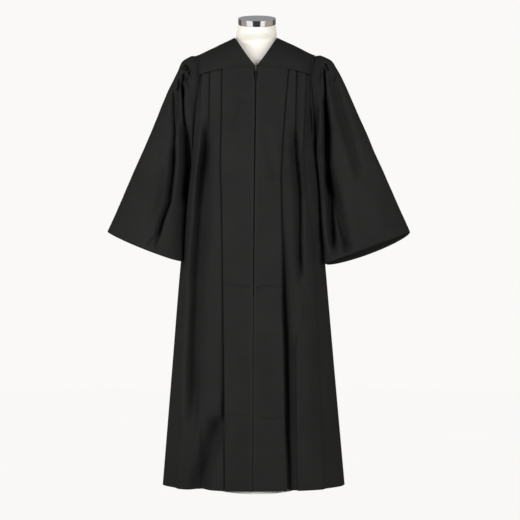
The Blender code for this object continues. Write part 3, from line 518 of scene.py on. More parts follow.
def softened(path, rounds=2):
    """Rows of points with their corners cut; each row keeps its two ends."""
    for _ in range(rounds):
        a, b = path[:, :-1], path[:, 1:]
        cut = np.stack((0.75 * a + 0.25 * b, 0.25 * a + 0.75 * b), axis=2)
        cut = cut.reshape(len(path), -1, path.shape[2])
        path = np.concatenate((path[:, :1], cut[:, 1:-1], path[:, -1:]), axis=1)
    return path


def spaced(low, high, step, bands):
    """Places from low to high about a step apart, and closer in the bands."""
    fine = np.linspace(low, high, 6000)
    density = 1 / step + sum(np.exp(-(((fine - b.middle) / b.half) ** 2)) / b.step for b in bands)
    count = np.concatenate(([0], np.cumsum((density[1:] + density[:-1]) / 2 * np.diff(fine))))
    return np.interp(np.linspace(0, count[-1], int(count[-1]) + 1), count, fine)


def press(x, z, creases):
    """How far creases press the cloth in at points of the plane seen from the front or back."""
    total = np.zeros(np.shape(x))
    for crease in creases:
        course = np.array(crease.course)
        steps = np.diff(course, axis=0)
        lengths = np.hypot(steps[:, 0], steps[:, 1])
        whole = lengths.sum()
        nearest = np.full(np.shape(x), np.inf)
        share = np.zeros(np.shape(x))
        for start, step, length, done in zip(course, steps, lengths, np.cumsum(lengths) - lengths):
            t = np.clip(((x - start[0]) * step[0] + (z - start[1]) * step[1]) / length ** 2, 0, 1)
            far = np.hypot(x - start[0] - t * step[0], z - start[1] - t * step[1])
            closer = far < nearest
            nearest = np.where(closer, far, nearest)
            share = np.where(closer, (done + t * length) / whole, share)
        fade = ease(share / 0.2) * ease((1 - share) / 0.2)
        fade = np.maximum(fade, 0.25 * crease.sharp)
        offset = nearest / crease.width
        rounded = np.exp(-offset * offset)
        pointed = np.exp(-1.6 * offset)
        total += crease.depth * fade * lerp(rounded, pointed, crease.sharp)
    return total


def unevenness(x, z):
    return sum(w.size * np.sin(w.across * x + w.down * z + w.start) for w in WAVES)


def lengths_along(points, axis):
    """Distance covered from the first point along an axis of a grid of points."""
    steps = np.linalg.norm(np.diff(points, axis=axis), axis=2)
    first = np.zeros_like(np.take(steps, [0], axis=axis))
    return np.concatenate((first, np.cumsum(steps, axis=axis)), axis=axis)


def normals_of(points, closed=False):
    """Unit normals of a grid of points."""
    down = np.gradient(points, axis=0)
    if closed:
        ring = np.concatenate((points[:, -2:-1], points, points[:, 1:2]), axis=1)
        across = np.gradient(ring, axis=1)[:, 1:-1]
    else:
        across = np.gradient(points, axis=1)
    normal = np.cross(across, down)
    return normal / np.maximum(np.linalg.norm(normal, axis=2, keepdims=True), 1e-12)


def add_piece(name, mesh, material, instead_of=()):
    """An object for a mesh that rides on the robe's body and stands for CAD nodes."""
    obj = bpy.data.objects.new(name, mesh)
    bpy.context.scene.collection.objects.link(obj)
    mesh.materials.append(material)
    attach(obj, BODY_NAME)
    if instead_of:
        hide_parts(*instead_of)
    return obj


def mesh_from(name, bm):
    """A smooth-shaded mesh of a bmesh."""
    for face in bm.faces:
        face.smooth = True
    mesh = bpy.data.meshes.new(name)
    bm.to_mesh(mesh)
    bm.free()
    return mesh


def grid_mesh(name, points, inside, marks=None, closed=False):
    """A mesh of quads on a grid of points, with a UV map in metres and named point values.

    inside is a point that the outer face turns away from; closed joins the first and last column.
    """
    rows, columns = points.shape[0] - 1, points.shape[1] - 1
    bm = bmesh.new()
    bmesh.ops.create_grid(bm, x_segments=columns, y_segments=rows, size=0.5)
    mesh = bpy.data.meshes.new(name)
    bm.to_mesh(mesh)
    bm.free()
    flat = np.empty(len(mesh.vertices) * 3, np.float32)
    mesh.vertices.foreach_get("co", flat)
    flat = flat.reshape(-1, 3)
    column = np.rint((flat[:, 0] + 0.5) * columns).astype(int)
    row = np.rint((flat[:, 1] + 0.5) * rows).astype(int)
    placed = points[row, column].astype(np.float32)
    mesh.vertices.foreach_set("co", placed.ravel())
    corner = np.empty(len(mesh.loops), np.int32)
    mesh.loops.foreach_get("vertex_index", corner)
    across, down = lengths_along(points, 1), lengths_along(points, 0)
    uv = np.stack((across[row, column], down[row, column]), axis=1)[corner]
    layer = mesh.uv_layers.new(name="cloth")
    layer.uv.foreach_set("vector", uv.astype(np.float32).ravel())
    for mark, values in (marks or {}).items():
        attribute = mesh.attributes.new(mark, "FLOAT", "POINT")
        attribute.data.foreach_set("value", values[row, column].astype(np.float32))
    bm = bmesh.new()
    bm.from_mesh(mesh)
    if closed:
        bmesh.ops.remove_doubles(bm, verts=bm.verts, dist=1e-6)
    middle = Vector(inside)
    facing = sum(f.normal.dot(f.calc_center_median() - middle) * f.calc_area() for f in bm.faces)
    if facing < 0:
        bmesh.ops.reverse_faces(bm, faces=bm.faces)
    for face in bm.faces:
        face.smooth = True
    bm.to_mesh(mesh)
    bm.free()
    return mesh

# ---------------------------------------------------------------- the robe's surfaces


def side_reach(side, z):
    """Distance from the centre line to the robe's side, and the sign of x on that side."""
    body = blended(BODY, z)
    if side == "left":
        return body.centre - body.left, -1
    return body.right - body.centre, 1


def seam_height(reach):
    return SEAM_Z - SEAM_DROP * reach * reach


def armhole_depth(z, front):
    """How far the armhole's edge lies in front of or behind the shoulder line, below the yoke."""
    deepest, top = (ARMHOLE_FRONT, SEAM_Z - SEAM_DROP) if front else (ARMHOLE_BACK, BACK_SEAM_Z)
    share = np.clip((top - z) / (top - UNDERARM_Z), 0, 1)
    return np.where(z > UNDERARM_Z, deepest * np.sqrt(1 - share * share), 0.0)


def body_depth(reach, z, front):
    """Depth of the robe's smooth outline at a share of the way from the centre to the side."""
    body = blended(BODY, z)
    middle = body.front if front else body.back
    edge = armhole_depth(z, front)
    boxy = body.boxy + FLATTER * ease((0.95 - z) / 0.30) * front
    return edge + (middle - edge) * np.sqrt(1 - np.clip(reach, 0, 1) ** boxy)


def pleat_points(cut, slope):
    """Six (distance, depth, painted sheen) points through one pleat, near layer to far layer."""
    tuck = np.abs(cut.tuck)
    folded = ease(tuck / TUCK_FULL)
    opening = OPENING_STEP * 4 * folded * (1 - folded) * np.where(cut.tuck > 0, 1, -1)
    outward = (-TURN, 0.0, -TURN, TURN - tuck, -tuck, TURN - tuck)
    inward = (tuck - TURN, tuck, tuck - TURN, TURN, 0.0, TURN)
    deep = (0, 0.25, 0.5, 0.5, 0.75, 1)
    soft_deep = (0, 0.1, 0.35, 0.65, 0.9, 1)
    points = []
    for i in range(6):
        across = np.where(cut.tuck >= 0, outward[i], inward[i])
        offset = lerp(SOFT_WIDTH * (i / 5 - 0.5), across, folded)
        depth = cut.lift + (cut.step + opening) * lerp(soft_deep[i], deep[i], folded)
        depth = depth + slope * np.minimum(0.0, offset) * folded
        # The point on the fold's edge carries painted sheen, as much as the pleat is folded.
        points.append((cut.edge + offset, depth, folded * (i == 1)))
    return points


def panel_path(side, z, pleats, edge, layer_points):
    """(distance, depth, painted sheen) points of a pleated panel at each height, centre to side.

    edge is the first points, where the panel starts. Beside each fold the cloth behind it dips
    into a groove, and past a deep fold it comes forward again.
    """
    reach, _ = side_reach(side, z)
    path = list(edge)
    cuts = [blended(pleat, z) for pleat in pleats]
    limits = [after.edge - SOFT_WIDTH / 2 - 0.003 for after in cuts[1:]] + [reach - 0.003]
    for number, (cut, limit, between) in enumerate(zip(cuts, limits, layer_points)):
        first = path[-1]
        slope = np.minimum(0.0, (cut.lift - first[1]) / np.maximum(0.004, cut.edge - first[0]))
        points = pleat_points(cut, slope)
        folded = ease(np.abs(cut.tuck) / TUCK_FULL)
        near = [np.minimum(points[0][0] - a, cut.edge - b) for a, b in BEFORE_FOLD]
        run = np.maximum(points[0][0] - first[0], 0.001)
        deep = [lerp(first[1], points[0][1], np.clip((x - first[0]) / run, 0, 1)) for x in near]
        for i in range(1, between + 1):
            t = i / (between + 1)
            path.append((lerp(first[0], near[0], t), lerp(first[1], deep[0], t), 0.0))
        path.append((near[0], deep[0], 0.0))
        path.append((near[1], deep[1], 0.0))
        path += points
        far = np.maximum.reduce([p[0] for p in points]) + 2 * TURN
        room = np.clip((limit - far) / 0.010, 0.1, 1)
        last = points[-1][1]
        wide = np.clip(0.12 * last, 0, 0.0045) * (number == 0)
        places = ((0.0, 1.0, 0.0), (0.0018 + wide, 0.40, 0.10), (0.0070 + 1.3 * wide, 0.0, 1.0))
        for offset, groove, share in places:
            forward = COME_FORWARD * share * np.clip(last - 0.010, 0, None) * (number == 0)
            depth = last + GROOVE * groove * folded * (cut.tuck > 0) - forward
            path.append((far + offset * room, depth, 0.0))
    last = path[-1]
    start = np.minimum(last[0] + 0.0005, reach - 0.0025)
    for i in range(1, SIDE_POINTS + 1):
        t = i / SIDE_POINTS
        path.append((lerp(start, reach, sin(pi / 2 * t)), last[1] * (1 - ease(t * 1.2)), 0.0))
    columns = ([np.asarray(value, float) + 0 * z for value in point] for point in path)
    return np.stack([np.stack(column, -1) for column in columns], axis=1)


def panel_depth(distance, deep, reach, z, front):
    """How far a panel's cloth stands from the shoulder line's plane."""
    outline = body_depth(distance / reach, z, front)
    return np.maximum(SEAM_GAP / 2 + WALL * 0.1, outline - deep)


def hem_relief(distance, band):
    """How far a turned-up edge presses the cloth in: a groove at its stitches, proud below."""
    above = distance - band
    groove = 0.0005 * np.exp(-((above / 0.0012) ** 2))
    return groove - 0.00035 * ease(-above / 0.003)


def under_yoke(below):
    """How far a panel dips behind the yoke's rolled edge, by distance below the seam."""
    return 0.0009 * ease(1 - below / 0.004)


def zip_depth(z):
    """Depth of the cloth at the zip, straight between the solid's rows."""
    rows = np.array(ZIP_ROWS)
    table = np.array([(row.z, row.front) for row in BODY][::-1])
    return np.interp(z, rows[::-1], np.interp(rows, table[:, 0], table[:, 1])[::-1])


def front_points(side):
    """Grid of points of one front, and how much painted sheen lightens each at a folded edge."""
    z = spaced(HEM_Z, SEAM_Z, PANEL_STEP, PANEL_BANDS)[::-1]
    start = blended(SLIT, z).half
    edge = [(start + a, b + 0 * z, c) for a, b, c in ZIP_EDGE]
    if side == "right":
        under = ease((ZIP_FOOT_Z - 0.004 - z) / 0.020)
        edge.insert(0, (lerp(edge[0][0], -start - 0.005, under), 0.0012 + 0.0014 * under, 0.0))
        edge.insert(1, (lerp(edge[0][0], start, under * 0.5), 0.0012 + 0.0012 * under, 0.0))
    path = softened(panel_path(side, z, FRONT_PLEATS[side], edge, LAYER_POINTS))
    distance, deep, pressed = np.moveaxis(path, 2, 0)
    rows = z[:, None]
    reach, sign = side_reach(side, rows)
    x = blended(BODY, rows).centre + sign * distance
    share = distance / reach
    fade = np.clip((rows - SEAM_FADE_Z) / (SEAM_Z - SEAM_FADE_Z), 0, 1)
    height = rows + fade * (seam_height(np.minimum(1, share)) - SEAM_GAP - SEAM_Z)
    near_zip = 1 - ease(distance / 0.030)
    depth = panel_depth(distance, deep, reach, rows, True)
    depth = depth + near_zip * (zip_depth(rows) - body_depth(0.0, rows, True))
    away = ease((1 - share) / 0.08) * ease((SEAM_Z - rows) / 0.020)
    pushed = press(x, height, FRONT_CREASES[side]) + press(x, height, PACKING)
    pushed = pushed + unevenness(x, height) * ease(distance / 0.016)
    pushed = pushed + hem_relief(height - HEM_Z, HEM_BAND)
    pushed = pushed * away + under_yoke(SEAM_Z - rows)
    return tucked_in(np.stack((x, -(depth - pushed), height), axis=2), 1), tucked_in(pressed, 0)


def tucked_in(grid, back):
    """The grid with two rows more at its top: the seam's allowance, hidden behind the yoke."""
    shifts = ((0, back * 0.0045, 0.008), (0, back * 0.0030, 0.003)) if grid.ndim == 3 else (0, 0)
    return np.concatenate((*(grid[:1] + shift for shift in shifts), grid))


def back_points():
    """Grid of points of the back, and how much painted sheen lightens each at a folded edge."""
    z = spaced(HEM_Z, BACK_SEAM_Z - SEAM_GAP, BACK_STEP, BACK_BANDS)[::-1]
    rows = z[:, None]
    sides = []
    for side in ("right", "left"):
        path = panel_path(side, z, BACK_PLEATS, [(0.0, 0.0, 0.0)], BACK_LAYER_POINTS)
        distance, deep, pressed = np.moveaxis(softened(path), 2, 0)
        reach, sign = side_reach(side, rows)
        x = blended(BODY, rows).centre + sign * distance
        share = distance / reach
        depth = panel_depth(distance, deep, reach, rows, False)
        away = ease((1 - share) / 0.10) * ease((BACK_SEAM_Z - rows) / 0.020)
        pushed = press(x, rows, BACK_CREASES) + 1.5 * unevenness(x, rows)
        pushed = (pushed + hem_relief(rows - HEM_Z, HEM_BAND)) * away
        pushed = pushed + under_yoke(BACK_SEAM_Z - rows)
        height = np.broadcast_to(rows, x.shape)
        sides.append((np.stack((x, depth - pushed, height), axis=2), pressed))
    (right, right_pressed), (left, left_pressed) = sides
    points = np.concatenate((right[:, ::-1], left[:, 1:]), axis=1)
    pressed = np.concatenate((right_pressed[:, ::-1], left_pressed[:, 1:]), axis=1)
    return tucked_in(points, -1), tucked_in(pressed, 0)


def shoulder_height(x):
    slope = (NECK_Z - SHOULDER_Z) / (SHOULDER_X - NECK_X)
    return NECK_Z + slope * (NECK_X - x)


def yoke_side(side):
    """Distance of the robe's side from the middle at the level of the yoke seam's end."""
    body = blended(BODY, SEAM_Z - SEAM_DROP)
    return -body.left if side == "left" else body.right


def yoke_edge(side, turn):
    """Distance of the yoke's armhole edge at an angle from the shoulder line to the seam."""
    return lerp(yoke_side(side), SHOULDER_X, np.cos(turn))


def neckline_turn(x, front):
    """Angle at which the neck opening cuts the yoke at distance x."""
    inside = np.minimum(x / NECK_X, 1.0)
    if front:
        seam = seam_height(x / SHOULDER_X)
        edge = V_Z + (NECK_Z - V_Z) * inside ** V_CURVE
    else:
        seam = BACK_SEAM_Z
        edge = BACK_NECK_Z + (NECK_Z - BACK_NECK_Z) * inside ** 2
    share = (edge - seam) / (shoulder_height(x) - seam)
    return np.where(x >= NECK_X, 0.0, np.arccos(np.clip(share, -1, 1)))


def yoke_points(side, front):
    """Grid of points over half a yoke: columns from the centre to the armhole, rows downwards."""
    first = YOKE_INNER_X if front else 0.0
    inner = first + (NECK_X - first) * np.sin(pi / 2 * np.linspace(0, 1, YOKE_INNER_COLUMNS))
    outward = np.sin(pi / 2 * np.linspace(0, 1, YOKE_OUTER_COLUMNS)[1:])
    outer = NECK_X + (SHOULDER_X - NECK_X) * outward
    x = np.concatenate((inner, outer))[None, :]
    down = np.linspace(0, 1, YOKE_ROWS)[:, None]
    down = lerp(down, ease(down), 0.7)
    turn = lerp(neckline_turn(x, front), pi / 2, down)
    share = x / SHOULDER_X
    reach = np.where(share < 0.5, x, lerp(x, yoke_edge(side, turn) * share, (share - 0.5) * 2))
    along = np.minimum(1.0, reach / yoke_edge(side, turn))
    seam = seam_height(along) if front else BACK_SEAM_Z + 0 * along
    at_seam = np.where(along < 1, np.minimum(1.0, reach / yoke_side(side)), 1.0)
    deepest = body_depth(at_seam, seam, front)
    height = seam + (shoulder_height(reach) - seam) * np.cos(turn)
    facing = -1 if front else 1
    depth = deepest * np.sin(turn) + SEAM_GAP * (x >= NECK_X) * (1 - ease(down / 0.04))
    sign = -1 if side == "left" else 1
    points = np.stack(np.broadcast_arrays(sign * reach, facing * depth, height), axis=2)
    normal = normals_of(points)
    normal = normal * np.sign((normal * (0, facing, 0.4)).sum(2).mean())
    from_top = lengths_along(points, 0)
    from_seam = from_top[-1:] - from_top
    from_inside = lengths_along(points, 1)
    from_arm = from_inside[:, -1:] - from_inside
    rise = sewn_edge(from_seam) + sewn_edge(from_arm) * 0.8
    neck = (x < NECK_X) * neck_edge(from_top)
    shoulder = (x >= NECK_X) * -0.0005 * np.exp(-((from_top / 0.0012) ** 2))
    rise = rise + neck + shoulder - unevenness(sign * reach, height * 1.7)
    if front:
        rise = rise + neck_edge(from_inside) * (from_top > 0.004)
    return points + normal * rise[..., None]


def sewn_edge(distance):
    """Rise of cloth near an edge that is sewn down: a roll, with a groove at its stitches."""
    roll = SEAM_ROLL * np.exp(-(((distance - 0.0026) / 0.0020) ** 2))
    groove = -0.0003 * np.exp(-(((distance - STITCH_INSET) / 0.0010) ** 2))
    return roll + groove - 0.0004 * np.exp(-((distance / 0.0009) ** 2))


def neck_edge(distance):
    """Rise of the turned edge of the neck opening, stitched down a little way in."""
    band = 0.0006 * (1 - ease((distance - 0.0050) / 0.0020))
    return band - 0.0004 * np.exp(-(((distance - 0.0064) / 0.0009) ** 2))


def back_yoke_points():
    right = yoke_points("right", False)
    left = yoke_points("left", False)
    middle = (right[:, :1] + left[:, :1]) / 2 * (0, 1, 1)
    return np.concatenate((right[:, :0:-1], middle, left[:, 1:]), axis=1)


# ---------------------------------------------------------------- sleeves


def armhole_points(side, turn):
    """The armhole's ring; turn runs from the shoulder (0) over the front (90) and under (180)."""
    front = np.sin(turn) >= 0
    seam = np.where(front, SEAM_Z - SEAM_DROP, BACK_SEAM_Z)
    reach = np.where(front, ARMHOLE_FRONT, ARMHOLE_BACK)
    upper = np.cos(turn) >= 0
    z = seam + np.where(upper, SHOULDER_Z - seam, seam - UNDERARM_Z) * np.cos(turn)
    body = blended(BODY, z)
    side_x = -body.left if side == "left" else body.right
    x = np.where(upper, yoke_edge(side, np.arccos(np.clip(np.cos(turn), 0, 1))), side_x)
    return np.stack((x + WALL / 2 + 2 * SEAM_GAP, -reach * np.sin(turn), z), axis=-1)


def hung_points(side, along, turn):
    """The sleeve's smooth tube at shares of its length and angles round it."""
    section = blended(SLEEVES[side], along)
    across = (1 + np.cos(turn)) / 2
    front = np.sin(turn) >= 0
    x = lerp(section.inner_x, section.outer_x, across)
    z = lerp(section.inner_z, section.outer_z, across)
    reach = np.where(front, section.front, section.back)
    y = section.inner_y * (1 - across) - reach * np.sin(turn)
    drop = np.where(front, CUFF_DROP[side].front, CUFF_DROP[side].back) * np.abs(np.sin(turn))
    drop = drop * ease((along - 0.80) / 0.20)
    down_x = section.outer_z - section.inner_z
    down_z = section.inner_x - section.outer_x
    size = np.hypot(down_x, down_z)
    return np.stack((x + drop * down_x / size, y, z + drop * down_z / size), axis=-1)


def gathers_from(angle):
    """Share of the sleeve's length at which the gathers start, by degrees from the shoulder."""
    return GATHER_START * np.clip((GATHER_LAST - np.abs(angle)) / (GATHER_LAST - 20), 0.08, 1)


def gathered(along, turn):
    """How far the gathers of the cap press the cloth in."""
    angle = (np.degrees(turn) + 180) % 360 - 180
    total = np.zeros(np.broadcast_shapes(along.shape, angle.shape))
    for gather in GATHERS:
        t = (along - gathers_from(gather.turn)) / gather.length
        strength = ease(t / 0.25) * ease((1 - t) / 0.75)
        middle = gather.turn * (1 + 0.10 * np.clip(t, 0, 1))
        width = gather.width * (1 + 0.9 * np.clip(t, 0, 1))
        total += gather.depth * strength * np.exp(-(((angle - middle) / width) ** 2))
    start = gathers_from(angle)
    puff = ease((along - start + 0.05) / 0.12) * ease((0.45 - along + start) / 0.40)
    return total - GATHER_PUFF * puff * ease((110 - np.abs(angle)) / 40)


def sleeve_points(side):
    """Grid of points of a bell sleeve from its armhole to its cuff, closed round."""
    turn = np.radians(spaced(-180, 180, SLEEVE_STEP_ROUND, ROUND_BANDS))[None, :]
    along = spaced(0, 1, SLEEVE_STEP, SLEEVE_BANDS)[:, None]
    points = hung_points(side, np.maximum(along, SLEEVE_ROOT), turn)
    root = np.clip(along / SLEEVE_ROOT, 0, 1)[..., None]
    armhole = armhole_points(side, turn)
    points = lerp(armhole, points, root)
    sewn_in = lerp(armhole, np.array((0, 0, 1.10)) + armhole * (1, 0, 0), 0.05)
    allowance = (sewn_in - (0.006, 0, 0), lerp(sewn_in, armhole, 0.6) - (0.002, 0, 0))
    points = np.concatenate((*allowance, points))
    along = np.concatenate(([[0.0], [0.0]], along))
    points = points * (-1 if side == "left" else 1, 1, 1)
    x, z = points[..., 0], points[..., 2]
    front = press(x, z, SLEEVE_CREASES[side, "front"]) * (np.sin(turn) > 0)
    back = press(x, z, SLEEVE_CREASES[side, "back"]) * (np.sin(turn) < 0)
    points[..., 1] += (front - back) * ease(np.abs(np.sin(turn)) / 0.25) * ease(along / 0.05)
    normal = normals_of(points, closed=True)
    middle = points.mean(axis=1, keepdims=True)
    normal = normal * np.sign((normal * (points - middle)).sum())
    done = lengths_along(points, 0)
    from_cuff = done[-1:] - done
    depth = gathered(along, turn) * ease(along / 0.03) + unevenness(x, z) * ease(along / 0.06)
    return points - normal * (depth + hem_relief(from_cuff, CUFF_BAND))[..., None]


# ---------------------------------------------------------------- shaders


class Value:
    """A number or colour in a node tree; Python's operators on it add Math nodes."""

    def __init__(self, nodes, socket):
        self.nodes, self.socket = nodes, socket

    def math(self, operation, *values):
        return self.nodes.add("ShaderNodeMath", {"operation": operation}, values)

    def __add__(self, other):
        return self.math("ADD", self, other)

    def __sub__(self, other):
        return self.math("SUBTRACT", self, other)

    def __rsub__(self, other):
        return self.math("SUBTRACT", other, self)

    def __mul__(self, other):
        return self.math("MULTIPLY", self, other)

    def __truediv__(self, other):
        return self.math("DIVIDE", self, other)

    def __pow__(self, other):
        return self.math("POWER", self, other)

    __radd__ = __add__
    __rmul__ = __mul__

    def sine(self):
        return self.math("SINE", self)

    def larger(self, other):
        return self.math("MAXIMUM", self, other)

    def between(self, low, high):
        """0 at low, 1 at high, and held past them."""
        return self.nodes.add("ShaderNodeMapRange", {}, {"Value": self, 1: low, 2: high})


class Nodes:
    """The nodes of one material or world."""

    def __init__(self, owner):
        owner.use_nodes = True
        self.tree = owner.node_tree
        self.tree.nodes.clear()

    def add(self, kind, settings=None, inputs=(), output=0):
        """Add a node: its settings first, then its sockets' values or links. Gives one output."""
        node = self.tree.nodes.new(kind)
        for name, value in (settings or {}).items():
            if name == "stops":
                self.set_stops(node.color_ramp, value)
            else:
                setattr(node, name, value)
        for name, value in inputs.items() if isinstance(inputs, dict) else enumerate(inputs):
            socket = node.inputs[name]
            if isinstance(value, Value):
                self.tree.links.new(value.socket, socket)
            elif hasattr(value, "__len__") and len(socket.default_value) == 4:
                socket.default_value = (*value[:3], 1.0)
            else:
                socket.default_value = value
        return Value(self, node.outputs[output]) if node.outputs else None

    @staticmethod
    def set_stops(ramp, stops):
        while len(ramp.elements) < len(stops):
            ramp.elements.new(1.0)
        for element, (place, colour) in zip(ramp.elements, stops):
            element.position = place
            element.color = (*colour, 1.0)

    def place(self, source="Object"):
        return self.add("ShaderNodeTexCoord", output=source)

    def parts(self, vector):
        """The X, Y and Z of a vector."""
        first = self.add("ShaderNodeSeparateXYZ", {}, (vector,))
        return [Value(self, socket) for socket in first.socket.node.outputs]

    def noise(self, vector, scale, detail=2.0, roughness=0.5):
        inputs = {"Vector": vector, "Scale": scale, "Detail": detail, "Roughness": roughness}
        return self.add("ShaderNodeTexNoise", {}, inputs)

    def blend(self, factor, first, second):
        """A colour between two others."""
        settings = {"data_type": "RGBA"}
        return self.add("ShaderNodeMix", settings, {0: factor, 6: first, 7: second}, output=2)

    def bump(self, height, distance, strength=1.0, under=None):
        inputs = {"Strength": strength, "Distance": distance, "Height": height}
        if under:
            inputs["Normal"] = under
        return self.add("ShaderNodeBump", {}, inputs)

    def surface(self, **inputs):
        """End the material in a Principled shader, its sockets named with _ for spaces."""
        sockets = {name.replace("_", " "): value for name, value in inputs.items()}
        shader = self.add("ShaderNodeBsdfPrincipled", {}, sockets)
        self.add("ShaderNodeOutputMaterial", {}, {"Surface": shader})

# ---------------------------------------------------------------- finishes


def finish(make):
    """The material that a function below makes, made on first use."""
    name = make.__name__ + "_finish"
    found = bpy.data.materials.get(name)
    if found is None:
        found = bpy.data.materials.new(name)
        make(Nodes(found), bpy.context.scene.robe_colours)
    return found


def gown_cloth(nodes, colours):
    """Matt black suiting: a plain weave, slow mottling, lint, and painted sheen on folded edges.
    """
    place = nodes.place()
    u, v, _ = nodes.parts(nodes.add("ShaderNodeUVMap", {"uv_map": "cloth"}))
    pitch = 2 * pi / bpy.context.scene.robe_sizes.weave
    weave = (u * pitch).sine() * (v * pitch).sine()
    slub = nodes.noise(place, 900, 1.0)
    crumple = nodes.noise(place, 42, 4.0, 0.55)
    mottle = nodes.noise(place, 7, 4.0, 0.6).between(0.32, 0.68)
    # Painted sheen: folded edges are lightened towards the lint-and-sheen colour.
    pressed = nodes.add("ShaderNodeAttribute", {"attribute_name": "pressed"}, output="Fac")
    colour = nodes.blend(mottle, colours.cloth_dark, colours.cloth_light)
    colour = nodes.blend(slub.between(0.66, 0.78) * 0.35, colour, colours.cloth_worn)
    colour = nodes.blend(pressed * 0.55, colour, colours.cloth_worn)
    soft = nodes.bump(crumple, 0.0011, 0.55)
    nodes.surface(
        Base_Color=colour,
        Roughness=mottle * 0.06 + 0.84,
        Normal=nodes.bump(weave + slub * 1.2, 0.00007, 0.5, soft),
        Specular_IOR_Level=0.06,
    )


def black_thread(nodes, colours):
    """Twisted sewing thread, a little paler than the cloth it is sunk in."""
    twist = nodes.noise(nodes.place(), 2600, 1.0)
    dark = colours.cloth_light
    colour = nodes.blend(twist.between(0.35, 0.65), dark, colours.cloth_worn)
    normal = nodes.bump(twist, 0.0001, 0.6)
    nodes.surface(Base_Color=colour, Roughness=0.6, Normal=normal, Specular_IOR_Level=0.35)


def zip_tape(nodes, colours):
    """Black woven tape with a fine herringbone."""
    x, _, z = nodes.parts(nodes.place())
    zigzag = ((x * 5200).sine() * 0.9 + z * 4200).sine()
    rib = (x * 9000).sine()
    lint = nodes.noise(nodes.place(), 1100, 2.0)
    paler = tuple(c * 1.5 for c in colours.tape)
    colour = nodes.blend(zigzag * 0.3 + 0.5, colours.tape, paler)
    colour = nodes.blend(lint.between(0.62, 0.8) * 0.3, colour, colours.cloth_dark)
    nodes.surface(
        Base_Color=colour,
        Roughness=lint * 0.2 + 0.7,
        Normal=nodes.bump(zigzag + rib * 0.5, 0.00012, 0.6),
        Specular_IOR_Level=0.25,
    )


def zip_coil(nodes, colours):
    """Black polyester coil, slightly shiny."""
    grain = nodes.noise(nodes.place(), 1400, 2.0)
    colour = nodes.blend(grain, colours.tape, colours.cloth_dark)
    nodes.surface(
        Base_Color=colour,
        Roughness=grain * 0.2 + 0.45,
        Normal=nodes.bump(grain, 0.0001, 0.3),
        Specular_IOR_Level=0.2,
    )


def zip_metal(nodes, colours):
    """Dull grey die-cast metal with rubbed spots."""
    place = nodes.place()
    rubbed = nodes.noise(place, 420, 4.0, 0.6).between(0.4, 0.65)
    drawn_out = nodes.add("ShaderNodeMapping", {}, {0: place, "Scale": (9, 9, 1)})
    scratches = nodes.noise(drawn_out, 300, 2.0)
    colour = nodes.blend(rubbed, colours.zip_dark, colours.zip_metal)
    nodes.surface(
        Base_Color=colour,
        Metallic=0.85,
        Roughness=0.5 - rubbed * 0.18 + scratches * 0.08,
        Normal=nodes.bump(scratches, 0.00008, 0.4),
    )


def linen(nodes, colours):
    """Natural linen stretched over the form: uneven threads both ways."""
    place = nodes.place()
    x, y, z = nodes.parts(place)
    wander = nodes.noise(place, 60, 2.0) * 2.0
    across = ((x + y * 0.8) * 3900 + wander).sine()
    down = (z * 4100 + wander).sine()
    stretched = nodes.add("ShaderNodeMapping", {}, {0: place, "Scale": (1, 1, 14)})
    slub = nodes.noise(stretched, 180, 3.0).between(0.45, 0.72)
    tone = nodes.noise(place, 14, 3.0).between(0.35, 0.7)
    colour = nodes.blend(tone, colours.linen_light, colours.linen_warm)
    colour = nodes.blend(slub * 0.35, colour, colours.linen_slub)
    nodes.surface(
        Base_Color=colour,
        Roughness=tone * 0.08 + 0.82,
        Normal=nodes.bump(across * 0.5 + down * 0.5 + slub, 0.00016, 0.55),
        Specular_IOR_Level=0.25,
        Sheen_Weight=0.12,
    )


def polished_metal(nodes, colours):
    """Chrome with faint turned rings on the top and light polishing marks."""
    sizes = {0: nodes.place(), "Location": tuple(CAP_FOOT), "Rotation": (NECK_TILT, 0, 0)}
    local = nodes.add("ShaderNodeMapping", {"vector_type": "TEXTURE"}, sizes)
    x, y, z = nodes.parts(local)
    radius = (x * x + y * y) ** 0.5
    rings = nodes.noise(nodes.add("ShaderNodeCombineXYZ", {}, (radius * 9, z * 3, 0.0)), 260, 2.0)
    marks = nodes.noise(local, 90, 3.0).between(0.5, 0.8)
    colour = nodes.blend(marks * 0.3, colours.chrome, colours.chrome_dull)
    nodes.surface(
        Base_Color=colour,
        Metallic=1.0,
        Roughness=rings * 0.07 + marks * 0.08 + 0.05,
        Normal=nodes.bump(rings, 0.00004, 0.25),
    )


def stand_paint(nodes, colours):
    """Off-white powder coat with fine orange peel and a few rubbed places."""
    place = nodes.place()
    peel = nodes.noise(place, 900, 2.0)
    rubbed = nodes.noise(place, 22, 4.0, 0.6).between(0.5, 0.8)
    colour = nodes.blend(rubbed * 0.5, colours.paint, colours.paint_rubbed)
    nodes.surface(
        Base_Color=colour,
        Roughness=rubbed * 0.12 + 0.40,
        Normal=nodes.bump(peel, 0.0002, 0.35),
    )


# ---------------------------------------------------------------- sewn pieces


def solidify(obj):
    """Give a sheet its thickness, half to each side."""
    wall = obj.modifiers.new("cloth", "SOLIDIFY")
    wall.thickness = CLOTH
    wall.offset = 0.0
    wall.use_rim = True


def sewn_piece(
    name, node, points, inside, marks=None, closed=False
):
    """A sheet of gown cloth in place of its solid, given its thickness."""
    mesh = grid_mesh(name, points, inside, marks, closed)
    obj = add_piece(name, mesh, finish(gown_cloth), instead_of=(node,))
    solidify(obj)


def along_line(line, pitch):
    """Places and directions a pitch apart along a line of points."""
    steps = np.linalg.norm(np.diff(line, axis=0), axis=1)
    done = np.concatenate(([0], np.cumsum(steps)))
    at = np.arange(pitch / 2, done[-1], pitch)
    places = np.stack([np.interp(at, done, line[:, i]) for i in range(3)], axis=1)
    ahead = np.stack([np.interp(at + pitch * 0.3, done, line[:, i]) for i in range(3)], axis=1)
    return places, ahead - places


